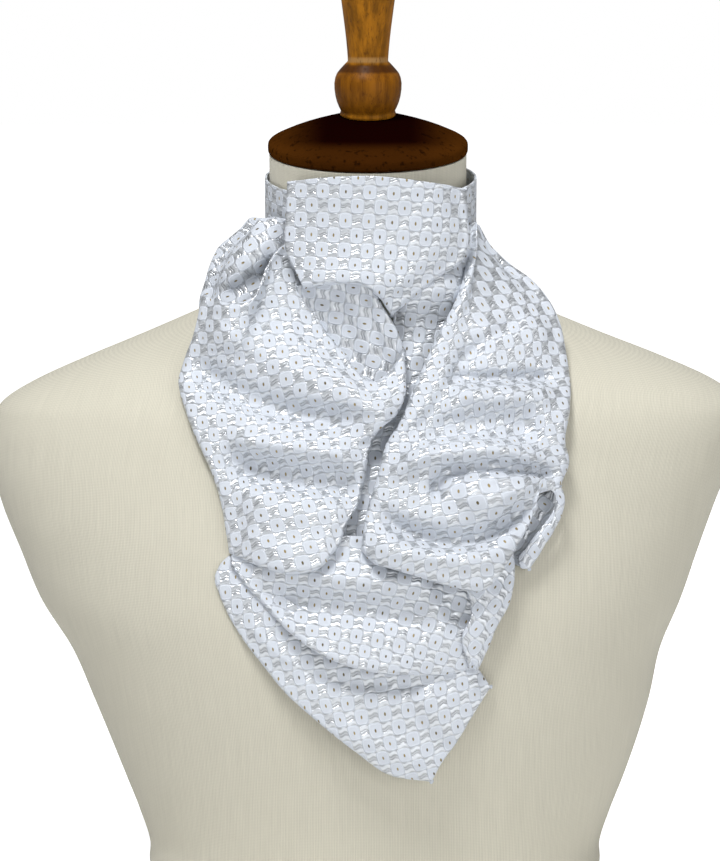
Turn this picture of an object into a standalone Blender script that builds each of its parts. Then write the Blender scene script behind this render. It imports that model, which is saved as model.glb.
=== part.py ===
"""A jacquard stock-tie cravat on a limbless linen dress form with a wooden neck cap.

Sizes are in millimetres and become metres where a mesh is made. X runs to the
right of someone who faces the form, the front of the form looks towards -Y and
+Z is up. The origin is on the flat underside of the form, below the neck.

The cloth is laid out in the front view, as it hangs: "across" is the distance to
the right of the neck's middle and "up" the height, both measured square to a view
that looks down by VIEW_DROP. "lift" is how far a point stands in front of the
chest, and "out" how far it stands in front of the neck's axis at the base.
"""
import math

import bpy
import numpy as np

MM = 0.001
WALL = 1.6
GAP = 0.3
# The front view looks down by VIEW_DROP, and its lowest line meets the form at VIEW_BASE
VIEW_DROP = math.radians(6.0)
VIEW_BASE = 12.0

# Dress form
FORM_SIDES = 44
NECK_LEAN = math.radians(9.0)
NECK_TOP = 413.7
NECK_TOP_OUT = 12.0
RIM_ANGLE = math.radians(50.0)
# The surface the cloth is hung on: the form's front, carried on past its shoulders
CHEST_LEAST_HALF_WIDTH = 170.0
CHEST_SQUARENESS = 2.2
CHEST_LAST_SHARE = 0.98
CHEST_FIRST_OUT = 80.0
CHEST_ROUNDS = 6

# Height of the middle, shift to the right, forward shift, half width, depth in
# front, depth behind, forward lean in degrees, squareness of the section
FORM_SECTIONS = (
    (0.0, 4.0, 0.0, 126.0, 82.0, 72.0, 0.0, 2.2),
    (4.0, 4.0, 0.0, 128.5, 84.0, 74.0, 0.0, 2.2),
    (18.0, 4.0, 0.0, 129.2, 86.0, 75.0, 0.0, 2.2),
    (36.0, 4.0, 0.0, 134.8, 89.2, 77.0, 0.0, 2.2),
    (57.0, 4.0, 0.0, 143.0, 94.0, 80.0, 0.0, 2.2),
    (103.0, 2.0, 0.0, 159.5, 104.0, 87.0, 0.0, 2.2),
    (131.0, -1.0, 0.0, 168.5, 108.0, 91.0, 0.0, 2.2),
    (159.0, -4.0, 0.0, 183.0, 108.0, 94.0, 0.0, 2.2),
    (187.0, -5.0, 0.0, 193.5, 104.5, 96.0, 0.0, 2.2),
    (215.0, -5.5, 0.0, 204.0, 98.0, 96.0, 0.0, 2.2),
    (243.0, -3.0, 0.0, 212.5, 90.0, 93.0, 0.0, 2.2),
    (260.0, 0.0, 0.0, 214.0, 84.5, 89.0, 0.0, 2.2),
    (272.0, 2.0, 0.0, 210.0, 80.0, 85.0, 1.0, 2.2),
    (283.0, 4.0, 0.0, 194.0, 75.0, 80.0, 3.0, 2.2),
    (294.0, 4.0, 0.0, 168.0, 70.0, 75.0, 6.0, 2.2),
    (305.5, 3.0, 0.0, 136.5, 65.0, 70.0, 9.0, 2.2),
    (317.0, 2.0, 0.0, 106.0, 60.5, 65.0, 12.0, 2.15),
    (328.0, 1.0, 0.0, 77.0, 57.0, 60.0, 14.5, 2.1),
    (337.0, 0.0, 0.5, 64.0, 55.5, 57.0, 15.5, 2.0),
    (347.0, 0.0, 1.5, 58.0, 55.5, 56.0, 14.5, 2.0),
    (360.0, 0.0, 3.4, 56.0, 56.0, 56.0, 12.0, 2.0),
    (380.0, 0.0, 6.5, 55.8, 56.0, 56.0, 10.0, 2.0),
    (NECK_TOP, 0.0, NECK_TOP_OUT, 55.8, 56.0, 56.0, 9.0, 2.0),
)

# Radius and height along the neck's axis, from the top down the outer side
TURNED_STEPS = 32
TURNED_MERGE = 0.01
CAP_PROFILE = (
    (0.0, 21.0), (16.0, 21.0), (28.0, 17.8), (40.0, 13.8), (50.0, 9.6),
    (55.6, 6.6), (56.6, 5.2), (56.6, 1.2), (55.8, 0.0), (0.0, 0.0),
)
FINIAL_PROFILE = (
    (0.0, 92.0), (9.0, 91.0), (14.4, 86.0), (16.2, 79.0), (15.2, 67.0), (13.7, 55.4),
    (12.3, 43.6), (11.4, 31.8), (11.5, 30.4), (13.1, 28.9), (16.0, 25.9), (18.3, 22.6),
    (19.0, 18.8), (18.8, 14.1), (17.7, 8.2), (15.7, 2.4), (15.4, 0.0), (0.0, 0.0),
)

# Neck band: a ring parallel to the cap
BAND_DROP_TOP = 14.0
BAND_DROP_BOTTOM = 42.0
BAND_SHIFT = 1.6
BAND_HALF_WIDTH = 58.6
BAND_HALF_DEPTH = 57.4
BAND_SIDES = 40
BAND_ROWS = 2

# Rolled edges: steps round a turn, and the share of a stretch that is drawn in for it
TURN_STEPS = 3
TURN_REACH = 0.25
TURN_LEAST_ROWS = 3
# How fast the outline of an upper or lower edge dies away across a stretch
SHAPE_FADE = 1.5
# How far a fold runs on past either end, and how long it takes to die away there
FOLD_RUN_ON = 0.12
FOLD_DIES_OVER = 0.3
LEAST_CELLS = 4
LEAST_LENGTH = 1e-6

COLOURS = {
    "linen": ((0.62, 0.58, 0.46, 1.0), 0.85),
    "dark_wood": ((0.035, 0.012, 0.006, 1.0), 0.25),
    "honey_wood": ((0.27, 0.10, 0.012, 1.0), 0.35),
    "jacquard": ((0.70, 0.73, 0.77, 1.0), 0.45),
}

# Each stretch of cloth has four edges, read along the cloth from left to right or
# from top to bottom. A row is one bend in an edge: across, up, lift.
# belly is how far the middle stands out, turn gives the radius and the angle through
# which the left, right, top and bottom edges roll back, step is the size of the mesh
# and fade says how fast the lift of an upper or lower edge dies away.
# A fold is a ridge, or a trough where its rise is negative, along a shallow arc:
# start across, start up, end across, end up, sag of the arc, half width, rise.
PANEL = {
    "step": 10.0,
    "fade": 1.0,
    "over_chest": False,
    "top": ((-45, 380, 51), (-34, 381, 61), (-21, 382, 68), (1, 382.5, 71.3), (35, 379, 62),
            (46, 377.5, 53.3), (55, 376, 42)),
    "bottom": ((-36, 320, 63), (-21, 322, 68), (-2, 321, 70), (6, 315, 69), (13, 305, 67)),
    "left": ((-45, 380, 51), (-46, 359, 50), (-46, 342, 52), (-41, 331, 58), (-36, 320, 63)),
    "right": ((55, 376, 42), (54, 359, 43), (53, 345, 45), (48, 334, 50), (35, 325, 58),
              (25, 317, 63), (13, 305, 67)),
    "belly": 5.0,
    "turn": {"bottom": (2.0, 100)},
    "folds": ((-36, 326, 30, 322, 0, 8, -1.5),),
}
LEFT_ROLL = {
    "step": 8.0,
    "fade": 1.0,
    "over_chest": False,
    "top": ((-58, 360, 34.6), (-52, 361, 41.2), (-46, 359, 46.2)),
    "bottom": ((-95, 304, 40), (-80, 300, 52), (-63, 304, 50)),
    "left": ((-58, 360, 34.6), (-66, 361, 28), (-72, 355, 24), (-78, 350, 22), (-84, 345, 22),
             (-89, 335, 24), (-92, 325, 28), (-95, 314, 34), (-95, 304, 40)),
    "right": ((-46, 359, 46.2), (-46, 351, 44.5), (-49, 339, 41), (-54, 328, 38), (-59, 316, 42),
              (-63, 304, 50)),
    "belly": 16.0,
    "turn": {"left": (5.0, 140)},
    "folds": (),
}
COWL_INNER = {
    "step": 8.0,
    "fade": 3.0,
    "over_chest": True,
    "top": ((-44, 321, -9), (-30, 324, -3), (-16, 326, 1.5), (3, 323, 3.5)),
    "bottom": ((-20, 254, 2.5), (-2, 255, 3.8), (18, 262, 8)),
    "left": ((-44, 321, -9), (-46, 305, -3), (-43, 288, 1), (-33, 269, 2), (-20, 254, 2.5)),
    "right": ((3, 323, 3.5), (8, 311, 6.5), (13, 303, 9), (17, 295, 9.6), (20, 286, 10.5),
              (20, 275, 9.6), (18, 262, 8)),
    "belly": -1.0,
    "turn": {"right": (2.0, 100)},
    "folds": (),
}
LEFT_SWATH = {
    "step": 7.0,
    "fade": 5.0,
    "over_chest": True,
    "top": ((-93, 317, 5), (-87, 315, 15), (-77, 313, 22), (-66, 316, 20), (-59, 325, 12),
            (-54, 338, 0), (-48, 345, -10), (-42, 329, -5), (-36, 315, 9), (-31, 308, 15),
            (-21, 293, 19),
            (-13, 284, 20), (-6, 275, 20), (2, 270, 20), (11, 274, 18), (20, 286, 15)),
    "bottom": ((-77, 173, 9.5), (-60, 166, 12), (-44, 162, 13), (-27, 166, 13), (-16, 178, 12)),
    "left": ((-93, 317, 5), (-95, 307, 8), (-98, 295, 10), (-103, 281, 10), (-106, 269, 10),
             (-102, 253, 9), (-94, 233, 9), (-87, 218, 9), (-82, 202, 9), (-79, 186, 9),
             (-77, 173, 9.5)),
    "right": ((20, 286, 15), (21, 272, 16), (20, 258, 16), (16, 250, 14), (6, 241, 12),
              (1, 230, 12), (-2, 213, 12), (-6, 199, 12), (-12, 188, 12), (-16, 178, 12)),
    "belly": 3.0,
    "turn": {"left": (2.5, 110), "right": (2.5, 110), "top": (2.0, 120), "bottom": (2.0, 100)},
    "folds": (
        (-97, 286, 17, 259, 4, 18, 8.0),
        (-100, 263, 7, 244, 4, 11, -6.5),
        (-74, 246, 2, 231, 2, 8, 6.0),
        (-76, 226, -2, 216, 4, 10, -6.5),
        (-74, 203, -7, 199, 0, 18, 5.0),
    ),
}
THROAT_FOLD = {
    "step": 9.0,
    "fade": 3.0,
    "over_chest": True,
    "top": ((20, 335, 2.5), (38, 339, -8), (54, 344, -24)),
    "bottom": ((-15, 180, 6), (-4, 179, 6), (9, 180, 6)),
    "left": ((20, 335, 2.5), (13, 305, 3), (14, 285, 4), (12, 255, 4.5), (-4, 230, 4.5),
             (-11, 205, 5), (-15, 180, 6)),
    "right": ((54, 344, -24), (53, 330, -18), (50, 315, -10), (42, 298, 0), (34, 275, 4),
              (28, 255, 5), (20, 230, 5), (13, 206, 5), (9, 180, 6)),
    "belly": 0.0,
    "turn": {},
    "folds": ((24, 322, 42, 300, 0, 7, 2.5),),
}
RIGHT_FALL = {
    "step": 7.0,
    "fade": 3.0,
    "over_chest": True,
    "top": ((57, 357, -25.6), (60, 358, -28), (63, 357, -31)),
    "bottom": ((-4, 175, 15), (0, 171, 16), (10, 167, 17), (32, 159, 17), (46, 155, 18),
               (64, 153, 18), (74, 163, 18), (81, 175, 17), (91, 191, 17), (99, 207, 16),
               (106, 209, 16)),
    "left": ((57, 357, -25.6), (58, 345, -17), (54, 330, -6), (48, 312, 4), (39, 295, 10),
             (30, 277, 14), (22, 259, 16), (17, 245, 17), (10, 234, 17), (6, 219, 15),
             (2, 205, 15), (-2, 190, 15), (-4, 175, 15)),
    "right": ((63, 357, -31), (68, 348, -32), (81, 335, -30), (92, 327, -24), (102, 315, -12),
              (108, 302, -2), (111, 286, 6), (113, 270, 10), (112, 250, 13), (109, 235, 14),
              (110, 219, 15), (106, 209, 16)),
    "belly": 6.0,
    "turn": {"left": (2.5, 120), "right": (3.5, 120), "bottom": (2.5, 120)},
    "folds": (
        (57, 290, 107, 296, 0, 14, 6.0),
        (43, 270, 109, 274, 0, 9, -6.5),
        (85, 304, 44, 275, 0, 6, -2.0),
        (32, 245, 105, 241, 0, 12, -5.5),
        (13, 229, 105, 223, -4, 9, 8.0),
        (34, 199, 56, 219, -5, 7, -8.0),
        (54, 219, 105, 213, -4, 7, -8.0),
        (46, 202, 96, 211, 0, 12, 6.0),
        (1, 198, 88, 199, 15, 8, -8.0),
        (-1, 176, 76, 170, 8, 8, 4.0),
        (63, 289, 11, 233, 3, 5, -3.5),
    ),
}
LOWER_ROLL = {
    "step": 9.0,
    "fade": 3.0,
    "over_chest": True,
    "top": ((-76, 172, 5.2), (-60, 178, 2.6), (-38, 182, 2.3), (-10, 183, 2.3), (18, 180, 2.3),
            (38, 174, 2.3), (52, 162, 2.8), (60, 140, 4.5)),
    "bottom": ((-74, 165, 6.5), (-69, 157, 8), (-59, 146, 8.5), (-46, 132, 8.5), (-27, 118, 8.5),
               (-4, 110, 8.5), (24, 107, 8), (44, 107, 6.8), (58, 109, 5.6)),
    "left": ((-76, 172, 5.2), (-76, 168.5, 5.8), (-74, 165, 6.5)),
    "right": ((60, 140, 4.5), (60, 124, 5), (58, 109, 5.6)),
    "belly": 5.0,
    "turn": {"bottom": (1.2, 100)},
    "folds": ((-69, 161, 40, 118, 3, 9, 3.0),),
}
TAIL_TIP = {
    "step": 12.0,
    "fade": 3.0,
    "over_chest": True,
    "top": ((-77, 172, 3.2), (-38, 144, 3), (18, 126, 2.8), (57, 117, 2.8)),
    "bottom": ((35, 46, 3), (41, 57, 3), (49, 68, 3), (58, 83, 3), (68, 99, 3)),
    "left": ((-77, 172, 3.2), (-82, 167, 4), (-85, 160, 4.5), (-82, 149, 4.5), (-77, 138, 4.5),
             (-69, 125, 4.5), (-59, 112, 4.5), (-46, 96, 4), (-27, 79, 4), (-7, 63, 4),
             (12, 50, 3.5), (35, 46, 3)),
    "right": ((57, 117, 2.8), (62, 108, 3), (68, 99, 3)),
    "belly": 0.5,
    "turn": {},
    "folds": ((-38, 106, 18, 96, 3, 6, 2.5), (-60, 122, -30, 104, 2, 7, 1.5)),
}
END_LOOP = {
    "step": 7.0,
    "fade": 3.0,
    "over_chest": True,
    "top": ((84, 200, 1.5), (94, 205, 2.5), (102, 207, 4.6)),
    "bottom": ((72, 172, 1.5), (78, 168, 2), (84, 165, 5)),
    "left": ((84, 200, 1.5), (84, 193, 1.5), (79, 183, 1.5), (72, 172, 1.5)),
    "right": ((102, 207, 4.6), (107, 203, 6), (107.5, 196, 9), (104, 185, 9), (96, 174, 8),
              (90, 167, 6.5), (84, 165, 5)),
    "belly": -0.5,
    "turn": {"right": (1.8, 150)},
    "folds": (),
}
UNDER_END = {
    "step": 7.0,
    "fade": 3.0,
    "over_chest": True,
    "top": ((50, 161, 12), (64, 172, 14), (80, 179, 13.5)),
    "bottom": ((56, 109, 10), (58, 108.5, 10), (61, 109, 9.5)),
    "left": ((50, 161, 12), (55, 151, 11), (57, 139, 10.5), (56, 127, 10.5), (56, 109, 10)),
    "right": ((80, 179, 13.5), (81, 160, 11.5), (78, 145, 10), (71, 132, 9.5), (67, 122, 9),
              (61, 109, 9.5)),
    "belly": 1.0,
    "turn": {"right": (1.6, 110), "left": (1.6, 100)},
    "folds": (),
}
STRETCHES = (
    ("front_panel", PANEL),
    ("left_roll", LEFT_ROLL),
    ("cowl_inner", COWL_INNER),
    ("left_swath", LEFT_SWATH),
    ("throat_fold", THROAT_FOLD),
    ("right_fall", RIGHT_FALL),
    ("lower_roll", LOWER_ROLL),
    ("tail_tip", TAIL_TIP),
    ("end_loop", END_LOOP),
    ("under_end", UNDER_END),
)


def clear_scene():
    for item in list(bpy.data.objects):
        bpy.data.objects.remove(item, do_unlink=True)


def make_collection(name):
    collection = bpy.data.collections.new(name)
    bpy.context.scene.collection.children.link(collection)
    return collection


def make_material(name):
    colour, roughness = COLOURS[name]
    material = bpy.data.materials.new(name)
    material.use_nodes = True
    surface = material.node_tree.nodes["Principled BSDF"]
    surface.inputs["Base Color"].default_value = colour
    surface.inputs["Roughness"].default_value = roughness
    surface.inputs["Metallic"].default_value = 0.0
    return material


def add_mesh(name, points, faces, collection, material):
    mesh = bpy.data.meshes.new(name)
    mesh.from_pydata([tuple(float(value) * MM for value in point) for point in points], [], faces)
    mesh.materials.append(material)
    mesh.shade_smooth()
    item = bpy.data.objects.new(name, mesh)
    collection.objects.link(item)
    return item


def form_ring(section, angle):
    """A point of one section of the dress form. Angle 0 is the right side, 90 degrees the front."""
    height, middle, forward, half_width, front, back, lean, squareness = section
    side = math.cos(angle)
    ahead = math.sin(angle)
    depth = front if ahead > 0 else back
    x = middle + half_width * math.copysign(abs(side) ** (2 / squareness), side)
    reach = depth * math.copysign(abs(ahead) ** (2 / squareness), ahead)
    lean = math.radians(lean)
    return (x, -(forward + reach * math.cos(lean)), height - reach * math.sin(lean))


def make_form(collection, material):
    """The torso and neck: a loft through FORM_SECTIONS, closed flat below and above."""
    points = []
    faces = []
    for section in FORM_SECTIONS:
        points += [form_ring(section, -math.tau * step / FORM_SIDES) for step in range(FORM_SIDES)]
    for row in range(len(FORM_SECTIONS) - 1):
        for step in range(FORM_SIDES):
            here = row * FORM_SIDES + step
            beside = row * FORM_SIDES + (step + 1) % FORM_SIDES
            faces.append((here, beside, beside + FORM_SIDES, here + FORM_SIDES))
    last = (len(FORM_SECTIONS) - 1) * FORM_SIDES
    faces.append(tuple(reversed(range(FORM_SIDES))))
    faces.append(tuple(range(last, last + FORM_SIDES)))
    item = add_mesh("form_torso", points, faces, collection, material)
    item.data.set_sharp_from_angle(angle=RIM_ANGLE)


def make_turned(name, profile, rise, collection, material):
    """A turned piece on the neck's axis, its foot at a given rise above the neck."""
    points = [(radius * MM, 0.0, height * MM) for radius, height in profile]
    mesh = bpy.data.meshes.new(name)
    mesh.from_pydata(points, [(step, step + 1) for step in range(len(points) - 1)], [])
    mesh.materials.append(material)
    item = bpy.data.objects.new(name, mesh)
    item.rotation_euler = (NECK_LEAN, 0.0, 0.0)
    item.location = (
        0.0,
        -(NECK_TOP_OUT + rise * math.sin(NECK_LEAN)) * MM,
        (NECK_TOP + rise * math.cos(NECK_LEAN)) * MM,
    )
    collection.objects.link(item)
    turn = item.modifiers.new("Turn", "SCREW")
    turn.steps = TURNED_STEPS
    turn.render_steps = TURNED_STEPS
    turn.use_merge_vertices = True
    turn.merge_threshold = TURNED_MERGE * MM
    turn.use_smooth_shade = True


def chest(across, height):
    """How far the front of the form stands out, carried on smoothly past the shoulders."""
    rows = np.array(FORM_SECTIONS)
    lean = np.radians(rows[:, 6])
    front_height = rows[:, 0] - rows[:, 4] * np.sin(lean)
    front_out = rows[:, 2] + rows[:, 4] * np.cos(lean)
    out = np.interp(height, front_height, front_out)
    half_width = np.maximum(np.interp(height, rows[:, 0], rows[:, 3]), CHEST_LEAST_HALF_WIDTH)
    share = np.clip(np.abs(across) / half_width, 0.0, CHEST_LAST_SHARE)
    return out * (1.0 - share ** CHEST_SQUARENESS) ** (1.0 / CHEST_SQUARENESS)


def place(layout, over_chest):
    """Turn points laid out as across, up, lift or out into points of the form's own frame."""
    across, up, lift = layout[..., 0], layout[..., 1], layout[..., 2]
    out = lift + (CHEST_FIRST_OUT if over_chest else 0.0)
    for _ in range(CHEST_ROUNDS):
        height = VIEW_BASE + up / math.cos(VIEW_DROP) + out * math.tan(VIEW_DROP)
        if over_chest:
            out = chest(across, height) + lift
    return np.stack((across, -out, height), axis=-1)


def along(rows, share):
    """A smooth curve through the rows of an edge, by its share of the length in the front view."""
    rows = np.array(rows, dtype=float)
    steps = np.linalg.norm(np.diff(rows[:, :2], axis=0), axis=1)
    at = np.concatenate(([0.0], np.cumsum(steps))) / steps.sum()
    slope = np.gradient(rows, at, axis=0)
    piece = np.clip(np.searchsorted(at, share, side="right") - 1, 0, len(at) - 2)
    span = at[piece + 1] - at[piece]
    part = ((share - at[piece]) / span)[:, None]
    span = span[:, None]
    start, end = rows[piece], rows[piece + 1]
    bend = slope[piece] * span, slope[piece + 1] * span
    return (
        start * (2 * part ** 3 - 3 * part ** 2 + 1)
        + bend[0] * (part ** 3 - 2 * part ** 2 + part)
        + end * (3 * part ** 2 - 2 * part ** 3)
        + bend[1] * (part ** 3 - part ** 2)
    )


def ease(value):
    value = np.clip(value, 0.0, 1.0)
    return value * value * (3.0 - 2.0 * value)


def fold_rise(layout, fold):
    """How far one fold lifts each point of a stretch."""
    start_across, start_up, end_across, end_up, sag, half_width, rise = fold
    start = np.array((start_across, start_up), dtype=float)
    run = np.array((end_across, end_up), dtype=float) - start
    length = np.linalg.norm(run)
    ahead = run / length
    beside = np.array((-ahead[1], ahead[0])) * math.copysign(1.0, ahead[0])
    offset = layout[..., :2] - start
    share = offset @ ahead / length
    inside = np.clip(share, 0.0, 1.0)
    distance = offset @ beside + sag * 4.0 * inside * (1.0 - inside)
    fade = ease((share + FOLD_RUN_ON) / FOLD_DIES_OVER)
    fade = fade * ease((1.0 + FOLD_RUN_ON - share) / FOLD_DIES_OVER)
    return rise * np.exp(-(distance / half_width) ** 2) * fade


def turn_rows(points, inward, turn):
    """The rows that roll back behind a drawn-in edge, each a step further round its turn."""
    radius, degrees = turn
    rows = []
    for step in range(1, TURN_STEPS + 1):
        angle = math.radians(degrees) * step / TURN_STEPS
        row = points.copy()
        row[:, :2] -= inward * radius * math.sin(angle)
        row[:, 2] -= radius * (1.0 - math.cos(angle))
        rows.append(row)
    return rows


def unit(vectors):
    return vectors / np.maximum(np.linalg.norm(vectors, axis=-1, keepdims=True), LEAST_LENGTH)


def roll_edge(grid, turn, at_start):
    """Roll the first or last row of a grid back through the angle of its turn."""
    ordered = grid if at_start else grid[::-1]
    radius = turn[0]
    inward = unit(ordered[2, :, :2] - ordered[0, :, :2])
    reach = max(TURN_LEAST_ROWS, int(len(ordered) * TURN_REACH))
    drawn = ordered.copy()
    for step in range(reach):
        drawn[step, :, :2] += inward * radius * (1.0 - ease(step / reach))
    extra = turn_rows(drawn[0], inward, turn)
    rows = np.concatenate((np.array(extra[::-1]), drawn))
    return rows if at_start else rows[::-1]


def lay_stretch(stretch):
    """The grid of a stretch in the front view, as rows from top to bottom."""
    edges = {side: np.array(stretch[side], dtype=float) for side in ("top", "bottom", "left", "right")}
    reach = {side: np.linalg.norm(np.diff(rows[:, :2], axis=0), axis=1).sum()
             for side, rows in edges.items()}
    columns = max(LEAST_CELLS, round(max(reach["top"], reach["bottom"]) / stretch["step"]))
    rows = max(LEAST_CELLS, round(max(reach["left"], reach["right"]) / stretch["step"]))
    u = np.linspace(0.0, 1.0, columns + 1)
    v = np.linspace(0.0, 1.0, rows + 1)
    top, bottom = along(edges["top"], u), along(edges["bottom"], u)
    left, right = along(edges["left"], v), along(edges["right"], v)
    u = u[None, :, None]
    v = v[:, None, None]
    top_line = (1 - u[0]) * top[0] + u[0] * top[-1]
    bottom_line = (1 - u[0]) * bottom[0] + u[0] * bottom[-1]
    reach_down = np.array((SHAPE_FADE, SHAPE_FADE, stretch["fade"]))
    layout = (1 - u) * left[:, None] + u * right[:, None]
    above = (1 - v) ** reach_down
    below = v ** reach_down
    layout = layout + above * (top - top_line)[None] + below * (bottom - bottom_line)[None]
    layout[..., 2] += stretch["belly"] * np.sin(math.pi * u[..., 0]) * np.sin(math.pi * v[..., 0])
    rise = sum((fold_rise(layout, fold) for fold in stretch["folds"]), np.zeros(layout.shape[:2]))
    layout[..., 2] += rise
    turns = stretch["turn"]
    if "top" in turns:
        layout = roll_edge(layout, turns["top"], True)
    if "bottom" in turns:
        layout = roll_edge(layout, turns["bottom"], False)
    layout = layout.transpose(1, 0, 2)
    if "left" in turns:
        layout = roll_edge(layout, turns["left"], True)
    if "right" in turns:
        layout = roll_edge(layout, turns["right"], False)
    return layout.transpose(1, 0, 2)


def add_wall(item, side):
    """Give an open cloth surface its thickness, behind its faces at -1 or before them at 1."""
    wall = item.modifiers.new("Cloth wall", "SOLIDIFY")
    wall.thickness = WALL * MM
    wall.offset = side
    wall.use_even_offset = False


def make_stretch(name, stretch, collection, material):
    layout = lay_stretch(stretch)
    points = place(layout, stretch["over_chest"])
    rows, columns = points.shape[:2]
    faces = []
    for row in range(rows - 1):
        for column in range(columns - 1):
            here = row * columns + column
            faces.append((here, here + columns, here + columns + 1, here + 1))
    item = add_mesh(name, points.reshape(-1, 3), faces, collection, material)
    add_wall(item, -1.0)


def make_band(collection, material):
    """The neck band: a ring of cloth round the neck, parallel to the cap."""
    points = []
    faces = []
    for row in range(BAND_ROWS + 1):
        drop = BAND_DROP_TOP + (BAND_DROP_BOTTOM - BAND_DROP_TOP) * row / BAND_ROWS
        for step in range(BAND_SIDES):
            angle = math.tau * step / BAND_SIDES
            ahead = BAND_HALF_DEPTH * math.sin(angle)
            out = NECK_TOP_OUT - drop * math.sin(NECK_LEAN) + ahead * math.cos(NECK_LEAN)
            height = NECK_TOP - drop * math.cos(NECK_LEAN) - ahead * math.sin(NECK_LEAN)
            points.append((BAND_SHIFT + BAND_HALF_WIDTH * math.cos(angle), -out, height))
    for row in range(BAND_ROWS):
        for step in range(BAND_SIDES):
            here = row * BAND_SIDES + step
            beside = row * BAND_SIDES + (step + 1) % BAND_SIDES
            faces.append((here, beside, beside + BAND_SIDES, here + BAND_SIDES))
    item = add_mesh("neck_band", points, faces, collection, material)
    add_wall(item, 1.0)


def main():
    clear_scene()
    cravat = make_collection("cravat_on_dress_form")
    materials = {name: make_material(name) for name in COLOURS}
    make_form(cravat, materials["linen"])
    make_turned("neck_cap", CAP_PROFILE, GAP, cravat, materials["dark_wood"])
    make_turned("finial", FINIAL_PROFILE, CAP_PROFILE[0][1] + 2 * GAP, cravat, materials["honey_wood"])
    make_band(cravat, materials["jacquard"])
    for name, stretch in STRETCHES:
        make_stretch(name, stretch, cravat, materials["jacquard"])


main()
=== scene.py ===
"""The looks of a jacquard cravat on a linen dress form with a wooden neck cap.

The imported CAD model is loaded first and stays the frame. Each stretch of cloth is
laid out again from the sizes of its solid, at the fineness of real cloth, with the
smaller creases that the solid leaves out. Sizes in the tables are in millimetres:
"across" is the distance to the right of the neck's middle and "up" the height, both
square to a view that looks down by VIEW_DROP. "lift" is how far a point stands in
front of the chest, and "out" how far it stands in front of the neck's axis.
"""
import math

import bpy
import numpy as np
from bpy.props import FloatProperty, FloatVectorProperty, IntProperty, PointerProperty
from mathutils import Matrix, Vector


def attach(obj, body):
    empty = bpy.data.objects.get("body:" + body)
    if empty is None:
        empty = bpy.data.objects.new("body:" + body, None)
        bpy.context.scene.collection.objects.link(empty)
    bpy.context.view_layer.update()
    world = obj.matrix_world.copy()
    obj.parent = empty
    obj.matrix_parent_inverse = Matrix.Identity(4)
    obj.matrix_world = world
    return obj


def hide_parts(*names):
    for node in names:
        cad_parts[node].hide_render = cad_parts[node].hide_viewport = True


bl_info = {
    "name": "Cravat on a Dress Form",
    "version": (1, 0, 0),
    "blender": (4, 5, 0),
    "location": "3D View > Sidebar > Cravat",
    "description": "Dresses the CAD model of a cravat on a dress form in cloth, linen and wood",
    "category": "Object",
}

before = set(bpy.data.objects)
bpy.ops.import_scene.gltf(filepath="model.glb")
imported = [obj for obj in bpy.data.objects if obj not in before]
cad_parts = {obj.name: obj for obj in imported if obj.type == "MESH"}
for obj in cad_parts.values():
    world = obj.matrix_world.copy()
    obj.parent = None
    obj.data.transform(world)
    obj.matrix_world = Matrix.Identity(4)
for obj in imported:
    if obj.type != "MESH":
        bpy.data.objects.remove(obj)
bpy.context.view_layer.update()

MM = 0.001
GAP = 0.3
# The front view looks down by VIEW_DROP, and its lowest line meets the form at VIEW_BASE
VIEW_DROP = math.radians(6.0)
VIEW_BASE = 12.0

# Dress form
NECK_LEAN = math.radians(9.0)
NECK_TOP = 413.7
NECK_TOP_OUT = 12.0
FORM_ROWS = 180
FORM_SIDES = 176
RIM_ANGLE = math.radians(50.0)
# The surface the cloth is hung on: the form's front, carried on past its shoulders
CHEST_LEAST_HALF_WIDTH = 170.0
CHEST_SQUARENESS = 2.2
CHEST_LAST_SHARE = 0.98
CHEST_FIRST_OUT = 80.0
CHEST_ROUNDS = 6

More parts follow.
